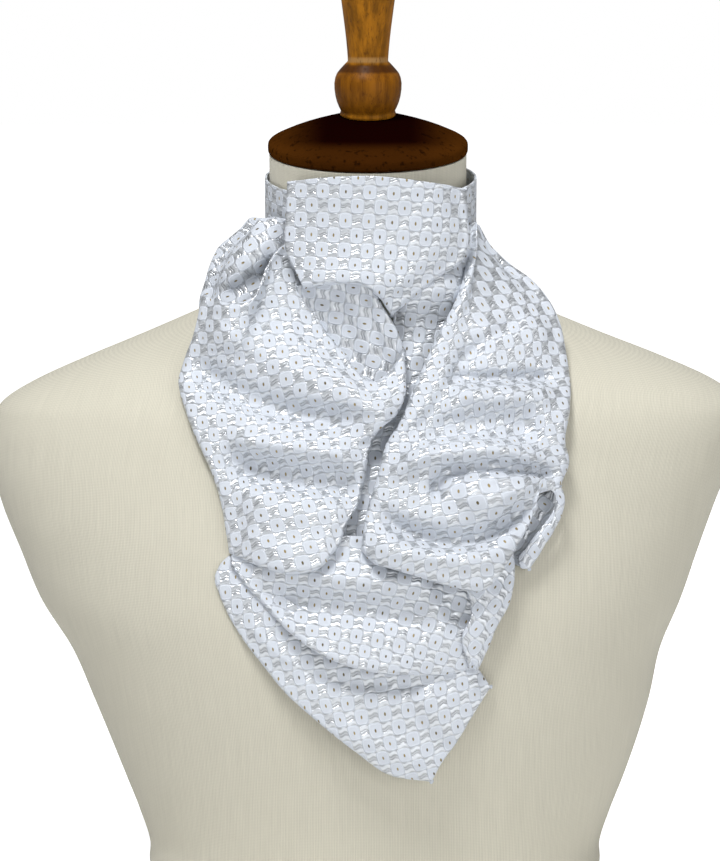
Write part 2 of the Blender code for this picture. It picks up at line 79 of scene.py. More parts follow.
# Height of the middle, shift to the right, forward shift, half width, depth in
# front, depth behind, forward lean in degrees, squareness of the section
FORM_SECTIONS = (
    (0.0, 4.0, 0.0, 126.0, 82.0, 72.0, 0.0, 2.2),
    (4.0, 4.0, 0.0, 128.5, 84.0, 74.0, 0.0, 2.2),
    (18.0, 4.0, 0.0, 129.2, 86.0, 75.0, 0.0, 2.2),
    (36.0, 4.0, 0.0, 134.8, 89.2, 77.0, 0.0, 2.2),
    (57.0, 4.0, 0.0, 143.0, 94.0, 80.0, 0.0, 2.2),
    (103.0, 2.0, 0.0, 159.5, 104.0, 87.0, 0.0, 2.2),
    (131.0, -1.0, 0.0, 168.5, 108.0, 91.0, 0.0, 2.2),
    (159.0, -4.0, 0.0, 183.0, 108.0, 94.0, 0.0, 2.2),
    (187.0, -5.0, 0.0, 193.5, 104.5, 96.0, 0.0, 2.2),
    (215.0, -5.5, 0.0, 204.0, 98.0, 96.0, 0.0, 2.2),
    (243.0, -3.0, 0.0, 212.5, 90.0, 93.0, 0.0, 2.2),
    (260.0, 0.0, 0.0, 214.0, 84.5, 89.0, 0.0, 2.2),
    (272.0, 2.0, 0.0, 210.0, 80.0, 85.0, 1.0, 2.2),
    (283.0, 4.0, 0.0, 194.0, 75.0, 80.0, 3.0, 2.2),
    (294.0, 4.0, 0.0, 168.0, 70.0, 75.0, 6.0, 2.2),
    (305.5, 3.0, 0.0, 136.5, 65.0, 70.0, 9.0, 2.2),
    (317.0, 2.0, 0.0, 106.0, 60.5, 65.0, 12.0, 2.15),
    (328.0, 1.0, 0.0, 77.0, 57.0, 60.0, 14.5, 2.1),
    (337.0, 0.0, 0.5, 64.0, 55.5, 57.0, 15.5, 2.0),
    (347.0, 0.0, 1.5, 58.0, 55.5, 56.0, 14.5, 2.0),
    (360.0, 0.0, 3.4, 56.0, 56.0, 56.0, 12.0, 2.0),
    (380.0, 0.0, 6.5, 55.8, 56.0, 56.0, 10.0, 2.0),
    (NECK_TOP, 0.0, NECK_TOP_OUT, 55.8, 56.0, 56.0, 9.0, 2.0),
)

# Radius and height along the neck's axis, from the top down the outer side
CAP_PROFILE = (
    (0.0, 21.0), (8.0, 21.0), (16.0, 20.8), (22.0, 19.6), (28.0, 17.8), (34.0, 15.9),
    (40.0, 13.8), (46.0, 11.4), (50.0, 9.6), (53.6, 7.9), (55.6, 6.6), (56.4, 5.6),
    (56.6, 4.4), (56.6, 2.0), (56.4, 1.0), (55.8, 0.3), (54.6, 0.0), (30.0, 0.0), (0.0, 0.0),
)
FINIAL_PROFILE = (
    (0.0, 92.0), (5.0, 91.8), (9.0, 91.0), (12.4, 89.0), (14.4, 86.0), (15.8, 82.6),
    (16.2, 79.0), (15.9, 74.0), (15.2, 67.0), (14.4, 61.0), (13.7, 55.4), (12.9, 49.0),
    (12.3, 43.6), (11.7, 37.0), (11.4, 32.4), (11.4, 31.2), (12.0, 30.4), (13.1, 29.3),
    (14.6, 27.6), (16.2, 25.8), (17.6, 23.9), (18.5, 21.6), (19.0, 18.6), (18.9, 15.0),
    (18.4, 11.4), (17.6, 8.2), (16.5, 5.4), (15.6, 3.6), (15.3, 2.6), (15.7, 1.8),
    (15.7, 0.6), (15.2, 0.0), (8.0, 0.0), (0.0, 0.0),
)

# Neck band: a ring parallel to the cap
BAND_DROP_TOP = 14.0
BAND_DROP_BOTTOM = 42.0
BAND_SHIFT = 1.6
BAND_HEIGHT = (BAND_DROP_BOTTOM - BAND_DROP_TOP) * MM
BAND_SECTION_STEPS = 48
BAND_SIDES = 120

# Rolled edges: steps round a turn, and the share of a stretch that is drawn in for it
TURN_STEPS = 8
TURN_REACH = 0.25
TURN_LEAST_ROWS = 3
# How fast the outline of an upper or lower edge dies away across a stretch
SHAPE_FADE = 1.5
# How far a fold runs on past either end, and how long it takes to die away there
FOLD_RUN_ON = 0.12
FOLD_DIES_OVER = 0.3
# A crease is sharper at its middle than a fold
FOLD_SHARPNESS = 2.0
CREASE_SHARPNESS = 1.35
CREASE_ROUNDING = 0.02
LEAST_CELLS = 4
LEAST_LENGTH = 1e-6
# Small ripples of the cloth: how many waves, and their lengths
RIPPLE_WAVES = 14
RIPPLE_SHORTEST = 11.0
RIPPLE_LONGEST = 34.0
WEAVE_ROUNDS = 500
WEAVE_REACH = 22.0
WEAVE_BLEND = 0.05
WEAVE_POWER = 1.5

# Each stretch of cloth has four edges, read along the cloth from left to right or
# from top to bottom. A row is one bend in an edge: across, up, lift.
# A fold is a ridge, or a trough where its rise is negative, along a shallow arc:
# start across, start up, end across, end up, sag of the arc, half width, rise.
# Creases are smaller and sharper and are read the same way. weave gives the direction
# of the cloth's rows of squares: across, up, degrees. dot is a place where a dot of
# the weave falls. cut is the flat size, and share the part of it that is cloth.
# USUAL_STRETCH holds what a stretch has unless it says otherwise.
USUAL_STRETCH = {
    "over_chest": True, "fade": 3.0, "belly": 0.0, "turn": {}, "folds": (), "creases": (),
    "rests_on": ("form_torso",),
}
PANEL = {
    "over_chest": False,
    "fade": 1.0,
    "top": ((-45, 380, 58), (-34, 381, 63.5), (-21, 382, 68.5), (1, 382.5, 71.5), (35, 379, 68.5),
            (46, 377.5, 64), (54, 376, 58)),
    "bottom": ((-36, 320, 66), (-21, 322, 71), (-2, 321, 73.5), (6, 315, 73), (13, 305, 71)),
    "left": ((-45, 380, 58), (-46, 359, 58), (-46, 342, 59), (-41, 331, 62), (-36, 320, 66)),
    "right": ((54, 376, 58), (56, 359, 57.5), (57, 347, 58), (52, 335, 60), (40, 327, 64),
              (28, 317, 68), (13, 305, 71)),
    "belly": 1.5,
    "turn": {"bottom": (2.6, 150), "top": (0.7, 150), "right": (3.5, 110)},
    "folds": ((-36, 326, 30, 322, 0, 8, 1.5),),
    "creases": ((-44, 372, 50, 369, 1, 3, 0.25),),
    "ripple": 0.12,
    "weave": ((-37, 375, -2), (30, 350, -2.5), (0, 310, -3)),
    "dot": (-37.0, 375.2),
    "cut": (104, 84), "share": 0.84,
    "rests_on": ("neck_band", "form_torso"),
}
LEFT_ROLL = {
    "over_chest": False,
    "fade": 1.0,
    "top": ((-58, 360, 36), (-52, 361, 42), (-46, 359, 46.2)),
    "bottom": ((-95, 304, 44), (-80, 300, 52), (-63, 304, 48)),
    "left": ((-58, 360, 36), (-66, 361, 34), (-72, 355, 32), (-78, 350, 31), (-84, 345, 31),
             (-89, 335, 33), (-92, 325, 36), (-95, 314, 41), (-95, 304, 44)),
    "right": ((-46, 359, 46.2), (-42, 351, 44), (-39, 339, 43.5), (-40, 328, 43), (-50, 314, 44),
              (-63, 304, 48)),
    "belly": 12.0,
    "turn": {"left": (5.0, 170)},
    "folds": ((-60, 357, -86, 322, 2, 12, 4.5), (-52, 338, -80, 317, 3, 6, -6.0)),
    "creases": ((-60, 356, -76, 314, 2, 3.0, -0.7), (-52, 350, -66, 312, 2, 3.0, -1.0)),
    "ripple": 0.35,
    "weave": ((-58, 352, -60), (-70, 335, -66), (-85, 312, -72)),
    "dot": (-70.0, 335.0),
    "cut": (62, 66), "share": 0.8,
}
COWL_INNER = {
    "top": ((-44, 321, -2), (-30, 324, 6), (-16, 326, 10), (3, 323, 12)),
    "bottom": ((-20, 254, 2.5), (-2, 255, 2.8), (18, 262, 3.5)),
    "left": ((-44, 321, -2), (-46, 305, 0), (-43, 288, 1), (-33, 269, 2), (-20, 254, 2.5)),
    "right": ((3, 323, 12), (8, 311, 13), (13, 303, 14.5), (17, 295, 14), (20, 286, 10),
              (20, 275, 5.5), (18, 262, 3.5)),
    "belly": -1.0,
    "turn": {"right": (1.6, 130)},
    "creases": ((-19, 318, -6, 272, -2, 2.4, -1.1), (-12, 322, 2, 274, -2, 2.0, 0.9),
                (-2, 318, 8, 280, -1, 2.0, -1.0), (5, 305, 13, 280, -1, 1.6, 0.8)),
    "ripple": 0.2,
    "weave": ((-20, 310, 86), (5, 290, 80), (8, 270, 62)),
    "dot": (-2.0, 301.0),
    "cut": (64, 76), "share": 0.8,
}
LEFT_SWATH = {
    "fade": 5.0,
    "top": ((-93, 317, 9), (-87, 315, 15), (-77, 313, 19), (-66, 316, 18), (-59, 325, 11),
            (-54, 338, 0), (-46, 346, -10), (-38, 333, -5), (-33, 319, 2), (-29, 307, 8),
            (-21, 293, 13), (-13, 284, 15), (-6, 275, 16), (2, 270, 17), (11, 274, 20),
            (20, 286, 20.5)),
    "bottom": ((-77, 173, 8), (-60, 166, 13.5), (-44, 162, 17), (-27, 165, 17), (-16, 177, 14)),
    "left": ((-93, 317, 9), (-95, 307, 9.5), (-98, 295, 10), (-103, 281, 10), (-106, 269, 10),
             (-102, 253, 9), (-94, 233, 9), (-87, 218, 9), (-82, 202, 9), (-79, 186, 8),
             (-77, 173, 8)),
    "right": ((20, 286, 20.5), (21, 272, 21.5), (20, 258, 20), (16, 250, 17.5), (6, 241, 13.5),
              (1, 230, 12), (-2, 213, 12), (-6, 199, 12), (-12, 188, 12.5), (-16, 177, 14)),
    "belly": 3.0,
    "turn": {"left": (4.2, 150), "right": (4.0, 140), "top": (5.0, 140), "bottom": (4.0, 130)},
    "folds": (
        (-94, 306, 14, 258, 3, 13, 9.0),
        (-102, 279, -6, 246, 8, 8, -10.5),
        (-76, 236, -3, 226, -1, 6, 7.0),
        (-80, 226, -3, 211, 5, 8, -10.5),
        (-70, 198, -7, 200, 1, 14, 3.0),
        (-68, 180, -20, 178, 7, 8, 2.0),
    ),
    "creases": (
        (-90, 314, -6, 262, 4, 1.8, -1.1),
        (-60, 322, -36, 286, -2, 3.0, 1.2),
        (-94, 268, -30, 250, 5, 3.0, -1.6),
        (-72, 248, -12, 236, -1, 2.4, 1.6),
        (-70, 230, -8, 218, 4, 2.6, -1.6),
        (-98, 290, -60, 280, 2, 3.0, -0.9),
        (-40, 262, 12, 254, 1, 3.0, 1.0),
        (-66, 208, -20, 206, 2, 3.0, 0.7),
    ),
    "ripple": 0.35,
    "weave": ((-80, 300, 4), (-50, 290, 8), (-20, 280, 14), (10, 265, 10), (-80, 265, 2),
              (-40, 245, 2), (0, 240, 3), (-60, 225, 4), (-60, 190, 15), (-25, 190, 18)),
    "dot": (-24.6, 287.3),
    "cut": (122, 186), "share": 0.9,
}
THROAT_FOLD = {
    "top": ((20, 338, 3.5), (38, 347, -5), (59, 357, -27)),
    "bottom": ((-15, 180, 2.5), (-4, 179, 2.5), (9, 180, 2.5)),
    "left": ((20, 338, 3.5), (14, 315, 4.5), (14, 300, 5), (14, 285, 3), (12, 255, 2), (-4, 230,
                                                                                        2.2),
             (-11, 205, 2.4), (-15, 180, 2.5)),
    "right": ((59, 357, -27), (59, 342, -17), (56, 328, -9), (50, 313, -2), (42, 298, 3), (34,
                                                                                           275, 2),
              (28, 255, 3), (20, 230, 3), (13, 206, 3), (9, 180, 3)),
    "folds": ((16, 312, 54, 325, 0, 11, 7.0),),
    "creases": ((26, 300, 36, 276, 1, 2.5, 0.5),),
    "ripple": 0.2,
    "weave": ((31, 310, -6), (20, 270, -4), (0, 200, 0)),
    "dot": (31.4, 309.7),
    "cut": (40, 168), "share": 0.86,
}
RIGHT_FALL = {
    "top": ((57, 357, -25.6), (60, 358, -28), (63, 357, -31)),
    "bottom": ((-4, 175, 15), (0, 171, 17), (10, 167, 19), (32, 159, 20), (46, 155, 20.5),
               (64, 153, 20), (74, 163, 19), (81, 175, 17), (91, 191, 17), (99, 207, 16),
               (106, 209, 16)),
    "left": ((57, 357, -25.6), (57, 345, -17), (54, 330, -2), (48, 312, 10), (40, 297, 18),
             (32, 280, 20.5), (24, 262, 20), (17, 245, 18), (10, 234, 17), (6, 219, 15),
             (2, 205, 15), (-2, 190, 15), (-4, 175, 15)),
    "right": ((63, 357, -31), (68, 348, -32), (81, 335, -30), (92, 327, -24), (102, 315, -12),
              (108, 302, -2), (111, 286, 6), (113, 270, 10), (112, 250, 13), (109, 235, 14),
              (110, 219, 15), (106, 209, 16)),
    "belly": 6.0,
    "turn": {"left": (4.5, 150), "right": (4.2, 150), "bottom": (4.5, 150)},
    "folds": (
        (60, 292, 107, 298, 0, 11, 5.0),
        (46, 270, 107, 271, 0, 4, -7.0),
        (85, 304, 44, 277, 0, 6, -2.5),
        (50, 261, 108, 261, 0, 6, 5.5),
        (28, 241, 96, 243, 0, 11, -10.5),
        (12, 221, 103, 222, -10, 6, 9.0),
        (36, 204, 54, 220, -5, 4.5, -8.0),
        (50, 219, 106, 213, -5, 4.5, -6.0),
        (50, 203, 92, 207, -1, 9, 6.5),
        (3, 195, 89, 198, 19, 7, -9.5),
        (-2, 177, 74, 168, 5, 7, 5.0),
        (63, 289, 11, 233, 3, 5, -3.5),
    ),
    "creases": (
        (85, 304, 44, 272, -2, 2.6, -1.6),
        (46, 270, 104, 271, 1, 2.4, -1.6),
        (50, 260, 100, 264, -3, 3.0, 0.9),
        (40, 248, 80, 250, 2, 3.0, -0.9),
        (20, 230, 92, 227, -6, 2.4, 1.2),
        (54, 212, 105, 209, -4, 2.0, 2.4),
        (8, 190, 84, 194, 17, 2.6, -1.5),
        (0, 181, 72, 172, 6, 2.4, 0.9),
        (56, 196, 84, 208, 1, 3.0, 0.8),
        (20, 222, 24, 196, 0, 3.0, -0.8),
    ),
    "ripple": 0.35,
    "weave": ((60, 335, 34), (48, 300, 32), (66, 318, 26), (85, 310, 10), (100, 290, -4),
              (75, 280, 2), (55, 262, 12), (90, 262, 10), (95, 235, 8), (35, 230, 4),
              (65, 230, 4), (20, 205, 2), (60, 200, 10), (90, 205, 12), (10, 180, 0),
              (50, 170, 6)),
    "dot": (65.0, 320.9),
    "cut": (132, 208), "share": 0.86,
    "rests_on": ("form_torso", "neck_band"),
}
LOWER_ROLL = {
    "top": ((-76, 172, 4.5), (-60, 178, 6.5), (-38, 182, 7.5), (-10, 183, 8), (18, 180, 8),
            (38, 174, 7.5), (52, 162, 7), (60, 140, 6.0)),
    "bottom": ((-74, 165, 5.5), (-69, 157, 7.5), (-59, 146, 9), (-46, 132, 10), (-27, 118, 10),
               (-4, 109, 9), (24, 106, 7.5), (44, 106, 6.5), (58, 109, 5)),
    "left": ((-76, 172, 4.5), (-76, 168.5, 4.8), (-74, 165, 5.5)),
    "right": ((60, 140, 6.0), (60, 124, 5.5), (58, 109, 5)),
    "belly": 2.0,
    "turn": {"bottom": (2.2, 150)},
    "folds": (
        (-60, 165, 30, 157, 2, 7, 4.3),
        (-60, 150, 34, 138, 2, 8, -7.0),
        (-50, 127, 30, 108, 7, 9, 4.5),
        (37, 162, 53, 134, 0, 7, -4.6),
    ),
    "creases": ((-20, 140, 40, 124, 2, 3.0, 0.6), (-60, 160, -20, 134, 2, 3.0, 0.8),
                (-40, 127, -22, 119, 0, 3.0, -1.6), (-30, 128, 20, 114, 2, 3.0, 0.9)),
    "ripple": 0.35,
    "weave": ((-60, 160, -8), (-20, 145, -4), (20, 140, -12), (45, 130, -20)),
    "dot": (-16.8, 142.2),
    "cut": (140, 76), "share": 0.8,
}
TAIL_TIP = {
    "top": ((-77, 172, 3.2), (-38, 144, 3), (18, 126, 2.8), (57, 117, 2.8)),
    "bottom": ((35, 46, 13), (41, 57, 11), (49, 68, 9), (58, 83, 7), (68, 99, 5)),
    "left": ((-77, 172, 3.2), (-82, 167, 4), (-85, 160, 4.5), (-82, 149, 4.5), (-77, 138, 4.5),
             (-69, 125, 5), (-59, 112, 6), (-46, 96, 8), (-27, 79, 10), (-7, 63, 12),
             (12, 50, 13), (35, 46, 13)),
    "right": ((57, 117, 2.8), (62, 108, 4), (68, 99, 5)),
    "belly": 0.5,
    "turn": {"left": (2.2, 150), "bottom": (0.9, 150), "right": (0.9, 150)},
    "folds": ((-50, 112, 40, 101, 6, 5, -1.6), (-28, 84, 36, 56, 5, 9, 2.0),
              (-66, 134, -34, 106, 3, 5, 2.2), (30, 98, 50, 70, 2, 8, 2.4)),
    "creases": ((-50, 113, 38, 102, 6, 2.4, -0.8), (-66, 134, -36, 108, 2, 2.4, 0.6),
                (20, 92, 44, 64, 2, 3.0, -0.6)),
    "ripple": 0.25,
    "weave": ((-70, 145, 2), (-40, 108, 2), (-10, 90, 6), (20, 90, 8), (40, 75, 18),
              (50, 100, 12)),
    "dot": (1.7, 91.8),
    "cut": (150, 108), "share": 0.56,
}
END_LOOP = {
    "top": ((84, 200, 1.5), (94, 205, 1.8), (102, 208, 2.5)),
    "bottom": ((72, 172, 1.5), (78, 168, 1.5), (84, 166, 1.8)),
    "left": ((84, 200, 1.5), (84, 193, 1.5), (79, 183, 1.5), (72, 172, 1.5)),
    "right": ((102, 208, 2.5), (106, 203, 3), (106.5, 196, 3), (103, 185, 2.5), (95, 174, 2.2),
              (89, 167, 2), (84, 166, 1.8)),
    "ripple": 0.15,
    "weave": ((95, 185, 52),),
    "dot": (100.0, 190.0),
    "cut": (26, 66), "share": 0.8,
}
LOOP_BAND = {
    "fade": 1.0,
    "top": ((99.0, 210, 14), (99.0, 214, 15)),
    "bottom": ((83, 171, 7), (84.5, 165, 7), (89.3, 164.4, 7)),
    "left": ((99.0, 210, 14), (103.5, 205.3, 14), (102, 196, 12), (94.5, 186, 10), (83, 171, 7)),
    "right": ((99.0, 214, 15), (107.5, 209, 15), (109.0, 202.5, 14), (106.5, 192.3, 12),
              (100, 181.2, 10), (93.9, 170.9, 8), (89.3, 164.4, 7)),
    "belly": 0.8,
    "turn": {"left": (0.9, 150), "right": (1.2, 150), "bottom": (0.9, 120)},
    "ripple": 0.1,
    "weave": ((95, 185, 52),),
    "dot": (100.0, 184.0),
}
UNDER_END = {
    "top": ((50, 161, 12), (64, 172, 14), (80, 179, 13.5)),
    "bottom": ((56, 109, 10), (58, 108.5, 10), (61, 109, 9.5)),
    "left": ((50, 161, 12), (55, 151, 11), (56.5, 139, 10.5), (52, 128, 10), (56, 109, 9)),
    "right": ((80, 179, 13.5), (81, 160, 11.5), (78, 145, 10), (71, 132, 9.5), (67, 122, 9),
              (61, 109, 9.5)),
    "belly": 1.0,
    "turn": {"right": (1.6, 140), "left": (1.6, 120)},
    "creases": ((62, 168, 76, 146, 2, 2.4, 0.9), (58, 158, 68, 130, -1, 2.2, -0.8)),
    "ripple": 0.2,
    "weave": ((70, 155, -38), (62, 125, -42)),
    "dot": (70.0, 155.0),
    "cut": (32, 70), "share": 0.62,
    "rests_on": ("lower_roll",),
}
# The loop has a far side and a narrow band in front; the other stretches are one piece each
STRETCHES = (
    ("front_panel", (PANEL,)),
    ("left_roll", (LEFT_ROLL,)),
    ("cowl_inner", (COWL_INNER,)),
    ("left_swath", (LEFT_SWATH,)),
    ("throat_fold", (THROAT_FOLD,)),
    ("right_fall", (RIGHT_FALL,)),
    ("lower_roll", (LOWER_ROLL,)),
    ("tail_tip", (TAIL_TIP,)),
    ("end_loop", (END_LOOP, LOOP_BAND)),
    ("under_end", (UNDER_END,)),
)

# Stage: the picture's frame, and the place that its middle looks at
PHOTO_SIZE = (720, 861)
PHOTO_MIDDLE = (-4.5, 241.1, 60.0)
# Where each lamp stands, how wide it is and its power in watts
LAMPS = (
    ("key", (-0.55, -1.4, 2.9), 0.8, 72.0),
    ("fill", (1.5, -2.3, 0.5), 1.6, 20.0),
    ("top", (0.3, 0.0, 2.4), 0.9, 5.0),
)
LAMP_AIM = (0.0, 0.0, 0.27)
FLOOR_REACH = 9000.0
FLOOR_GAP = 0.5
FLOOR_SIDES = 64
FLOOR_GLOW = 0.9
SKY = (0.97, 0.985, 1.0, 1.0)
WHITE = (1.0, 1.0, 1.0, 1.0)
SENSOR_HEIGHT = 36.0

# Colours of the looks that no setting changes
LINEN_CLOUD = (0.64, 0.60, 0.49, 1.0)
CAP_PORE = (0.004, 0.001, 0.0005, 1.0)
BALL_STAIN = (0.12, 0.035, 0.003)
RING_STAIN = (0.03, 0.008, 0.002, 1.0)
RING_WORN = (0.46, 0.27, 0.10, 1.0)
FINIAL_PORE = (0.05, 0.014, 0.002, 1.0)
# Heights on the finished form, in metres: where each step begins and ends
# CAP_RIM_LOW bounds the band of painted highlight round the cap's rim
CAP_RIM_LOW = (0.4225, 0.4165)
BALL = (0.4355, 0.4375, 0.4620, 0.4640)
DARK_RING = (0.4585, 0.4605, 0.4632, 0.4650)
WORN_RING = (0.4645, 0.4660, 0.4672, 0.4690)


class FormSettings(bpy.types.PropertyGroup):
    linen: FloatVectorProperty(
        name="Linen", description="Colour of the linen cover", subtype="COLOR",
        size=3, min=0.0, max=1.0, default=(0.635, 0.61, 0.51),
    )
    rib_pitch: FloatProperty(
        name="Rib pitch", description="Distance from one rib of the linen to the next",
        default=0.0009, min=0.0003, max=0.004, unit="LENGTH",
    )


class WoodSettings(bpy.types.PropertyGroup):
    cap: FloatVectorProperty(
        name="Cap", description="Colour of the neck cap's dark stain", subtype="COLOR",
        size=3, min=0.0, max=1.0, default=(0.006, 0.0006, 0.0004),
    )
    # Painted light: this colour is the lighter brown laid where the lamps catch the cap's left and
    # right sides and its rim
    cap_painted_light: FloatVectorProperty(
        name="Cap rim", description="Colour of the cap where the stain is worn thin",
        subtype="COLOR", size=3, min=0.0, max=1.0, default=(0.075, 0.024, 0.003),
    )
    finial: FloatVectorProperty(
        name="Finial", description="Colour of the finial's honey stain", subtype="COLOR",
        size=3, min=0.0, max=1.0, default=(0.31, 0.118, 0.006),
    )
    turned_sides: IntProperty(
        name="Turned sides", description="Faces round a turned piece", default=96, min=24, max=256,
    )


class ClothSettings(bpy.types.PropertyGroup):
    step: FloatProperty(
        name="Mesh step", description="Distance between two points of the cloth's mesh",
        default=0.0013, min=0.0008, max=0.01, unit="LENGTH",
    )
    wall: FloatProperty(
        name="Cloth wall", description="Thickness of the doubled cloth", default=0.0012,
        min=0.0003, max=0.0016, unit="LENGTH",
    )
    cell_width: FloatProperty(
        name="Cell width", description="Width of one square of the weave", default=0.00655,
        min=0.002, max=0.02, unit="LENGTH",
    )
    cell_height: FloatProperty(
        name="Cell height", description="Height of one square of the weave", default=0.0083,
        min=0.002, max=0.02, unit="LENGTH",
    )
    square: FloatVectorProperty(
        name="Squares", description="Colour of the matte squares", subtype="COLOR",
        size=3, min=0.0, max=1.0, default=(0.65, 0.69, 0.755),
    )
    # The satin colour is darkened to two thirds in the grooves and along the squares' edges:
    # painted shade
    satin: FloatVectorProperty(
        name="Satin", description="Colour of the satin floats between the squares",
        subtype="COLOR", size=3, min=0.0, max=1.0, default=(0.74, 0.77, 0.81),
    )
    dot: FloatVectorProperty(
        name="Dots", description="Colour of the metallic thread at the middle of each square",
        subtype="COLOR", size=3, min=0.0, max=1.0, default=(0.34, 0.26, 0.11),
    )


class BandSettings(bpy.types.PropertyGroup):
    half_width: FloatProperty(
        name="Half width", description="Half the band's width from side to side",
        default=0.0594, min=0.03, max=0.1, unit="LENGTH",
    )
    half_depth: FloatProperty(
        name="Half depth", description="Half the band's depth from front to back",
        default=0.0582, min=0.03, max=0.1, unit="LENGTH",
    )
    height: FloatProperty(
        name="Height", description="Height of the band", default=BAND_HEIGHT,
        min=0.01, max=0.06, unit="LENGTH",
    )


class StageSettings(bpy.types.PropertyGroup):
    distance: FloatProperty(
        name="Camera distance", description="From the camera to the middle of the cravat",
        default=3.0, min=0.5, max=10.0, unit="LENGTH",
    )
    scale: FloatProperty(
        name="Picture scale", description="Size of one pixel of the picture at the cravat",
        default=0.00056, min=0.0001, max=0.01, precision=5, unit="LENGTH",
    )
    floor: FloatVectorProperty(
        name="Floor", description="Colour of the floor", subtype="COLOR",
        size=3, min=0.0, max=1.0, default=(0.93, 0.93, 0.93),
    )
    daylight: FloatProperty(
        name="Daylight", description="Strength of the even light from all round",
        default=0.25, min=0.0, max=3.0,
    )


# Surfaces of the form and the cloth

def curve(rows, at, share):
    """A smooth curve through rows that stand at the places given, read at each share."""
    slope = np.gradient(rows, at, axis=0)
    piece = np.clip(np.searchsorted(at, share, side="right") - 1, 0, len(at) - 2)
    span = (at[piece + 1] - at[piece])[:, None]
    part = (share - at[piece])[:, None] / span
    return (
        rows[piece] * (2 * part ** 3 - 3 * part ** 2 + 1)
        + slope[piece] * span * (part ** 3 - 2 * part ** 2 + part)
        + rows[piece + 1] * (3 * part ** 2 - 2 * part ** 3)
        + slope[piece + 1] * span * (part ** 3 - part ** 2)
    )


def form_sections():
    """The form's sections, smoothed between the rows of FORM_SECTIONS."""
    rows = np.array(FORM_SECTIONS)
    heights = np.linspace(rows[0, 0], rows[-1, 0], FORM_ROWS)
    return curve(rows, rows[:, 0], heights)


SECTIONS = form_sections()


def form_ring(section, angles):
    """Points round one section of the form. Angle 0 is its right side, 90 degrees its front."""
    height, middle, forward, half_width, front, back, lean, squareness = section
    side = np.cos(angles)
    ahead = np.sin(angles)
    depth = np.where(ahead > 0, front, back)
    x = middle + half_width * np.sign(side) * np.abs(side) ** (2 / squareness)
    reach = depth * np.sign(ahead) * np.abs(ahead) ** (2 / squareness)
    lean = math.radians(lean)
    return np.stack((x, -(forward + reach * math.cos(lean)), height - reach * math.sin(lean)),
                    axis=-1)


def chest(across, height):
    """How far the front of the form stands out, carried on smoothly past the shoulders."""
    lean = np.radians(SECTIONS[:, 6])
    front_height = SECTIONS[:, 0] - SECTIONS[:, 4] * np.sin(lean)
    front_out = SECTIONS[:, 2] + SECTIONS[:, 4] * np.cos(lean)
    out = np.interp(height, front_height, front_out)
    half_width = np.maximum(np.interp(height, SECTIONS[:, 0], SECTIONS[:, 3]),
                            CHEST_LEAST_HALF_WIDTH)
    share = np.clip(np.abs(across) / half_width, 0.0, CHEST_LAST_SHARE)
    return out * (1.0 - share ** CHEST_SQUARENESS) ** (1.0 / CHEST_SQUARENESS)


def place(layout, over_chest):
    """Turn points laid out as across, up, lift or out into points of the form's own frame."""
    across, up, lift = layout[..., 0], layout[..., 1], layout[..., 2]
    out = lift + (CHEST_FIRST_OUT if over_chest else 0.0)
    for _ in range(CHEST_ROUNDS):
        height = view_height(up, out)
        if over_chest:
            out = chest(across, height) + lift
    return np.stack((across, -out, height), axis=-1)


def along(rows, share):
    """A smooth curve through the rows of an edge, by its share of the length in the front view."""
    rows = np.array(rows, dtype=float)
    steps = np.linalg.norm(np.diff(rows[:, :2], axis=0), axis=1)
    at = np.concatenate(([0.0], np.cumsum(steps))) / steps.sum()
    return curve(rows, at, share)


def view_height(up, out):
    """The height of a point that the front view shows at up and that stands out by out."""
    return VIEW_BASE + up / math.cos(VIEW_DROP) + out * math.tan(VIEW_DROP)


def onto_neck(points, rise):
    """Points about an upright axis, brought to the neck's axis and raised along it."""
    x, y, z = points[:, 0], points[:, 1], points[:, 2] + rise
    out = y * math.cos(NECK_LEAN) - z * math.sin(NECK_LEAN) - NECK_TOP_OUT
    up = y * math.sin(NECK_LEAN) + z * math.cos(NECK_LEAN) + NECK_TOP
    return np.stack((x, out, up), axis=-1)


def ease(value):
    value = np.clip(value, 0.0, 1.0)
    return value * value * (3.0 - 2.0 * value)


def unit(vectors):
    return vectors / np.maximum(np.linalg.norm(vectors, axis=-1, keepdims=True), LEAST_LENGTH)


def fold_rise(layout, fold, sharpness):
    """How far one fold lifts each point of a stretch."""
    start_across, start_up, end_across, end_up, sag, half_width, rise = fold
    start = np.array((start_across, start_up), dtype=float)
    run = np.array((end_across, end_up), dtype=float) - start
    length = np.linalg.norm(run)
    ahead = run / length
    beside = np.array((-ahead[1], ahead[0])) * math.copysign(1.0, ahead[0])
    offset = layout[..., :2] - start
    share = offset @ ahead / length
    inside = np.clip(share, 0.0, 1.0)
    distance = np.abs(offset @ beside + sag * 4.0 * inside * (1.0 - inside)) / half_width
    fade = ease((share + FOLD_RUN_ON) / FOLD_DIES_OVER)
    fade = fade * ease((1.0 + FOLD_RUN_ON - share) / FOLD_DIES_OVER)
    if sharpness < FOLD_SHARPNESS:
        distance = np.sqrt(distance ** 2 + CREASE_ROUNDING) - math.sqrt(CREASE_ROUNDING)
    return rise * np.exp(-distance ** sharpness) * fade


def ripples(layout, height, seed):
    """Small uneven waves over a stretch, the same for the same seed."""
    random = np.random.default_rng(seed)
    rise = np.zeros(layout.shape[:2])
    for _ in range(RIPPLE_WAVES):
        turn = random.uniform(0.0, math.pi)
        length = random.uniform(RIPPLE_SHORTEST, RIPPLE_LONGEST)
        phase = random.uniform(0.0, math.tau)
        run = layout[..., 0] * math.cos(turn) + layout[..., 1] * math.sin(turn)
        rise += np.sin(run * math.tau / length + phase) * length / RIPPLE_LONGEST
    return height * rise / math.sqrt(RIPPLE_WAVES)


def turn_rows(points, inward, turn):
    """The rows that roll back behind a drawn-in edge, each a step further round its turn."""
    radius, degrees = turn
    rows = []
    for step in range(1, TURN_STEPS + 1):
        angle = math.radians(degrees) * step / TURN_STEPS
        row = points.copy()
        row[:, :2] -= inward * radius * math.sin(angle)
        row[:, 2] -= radius * (1.0 - math.cos(angle))
        rows.append(row)
    return rows


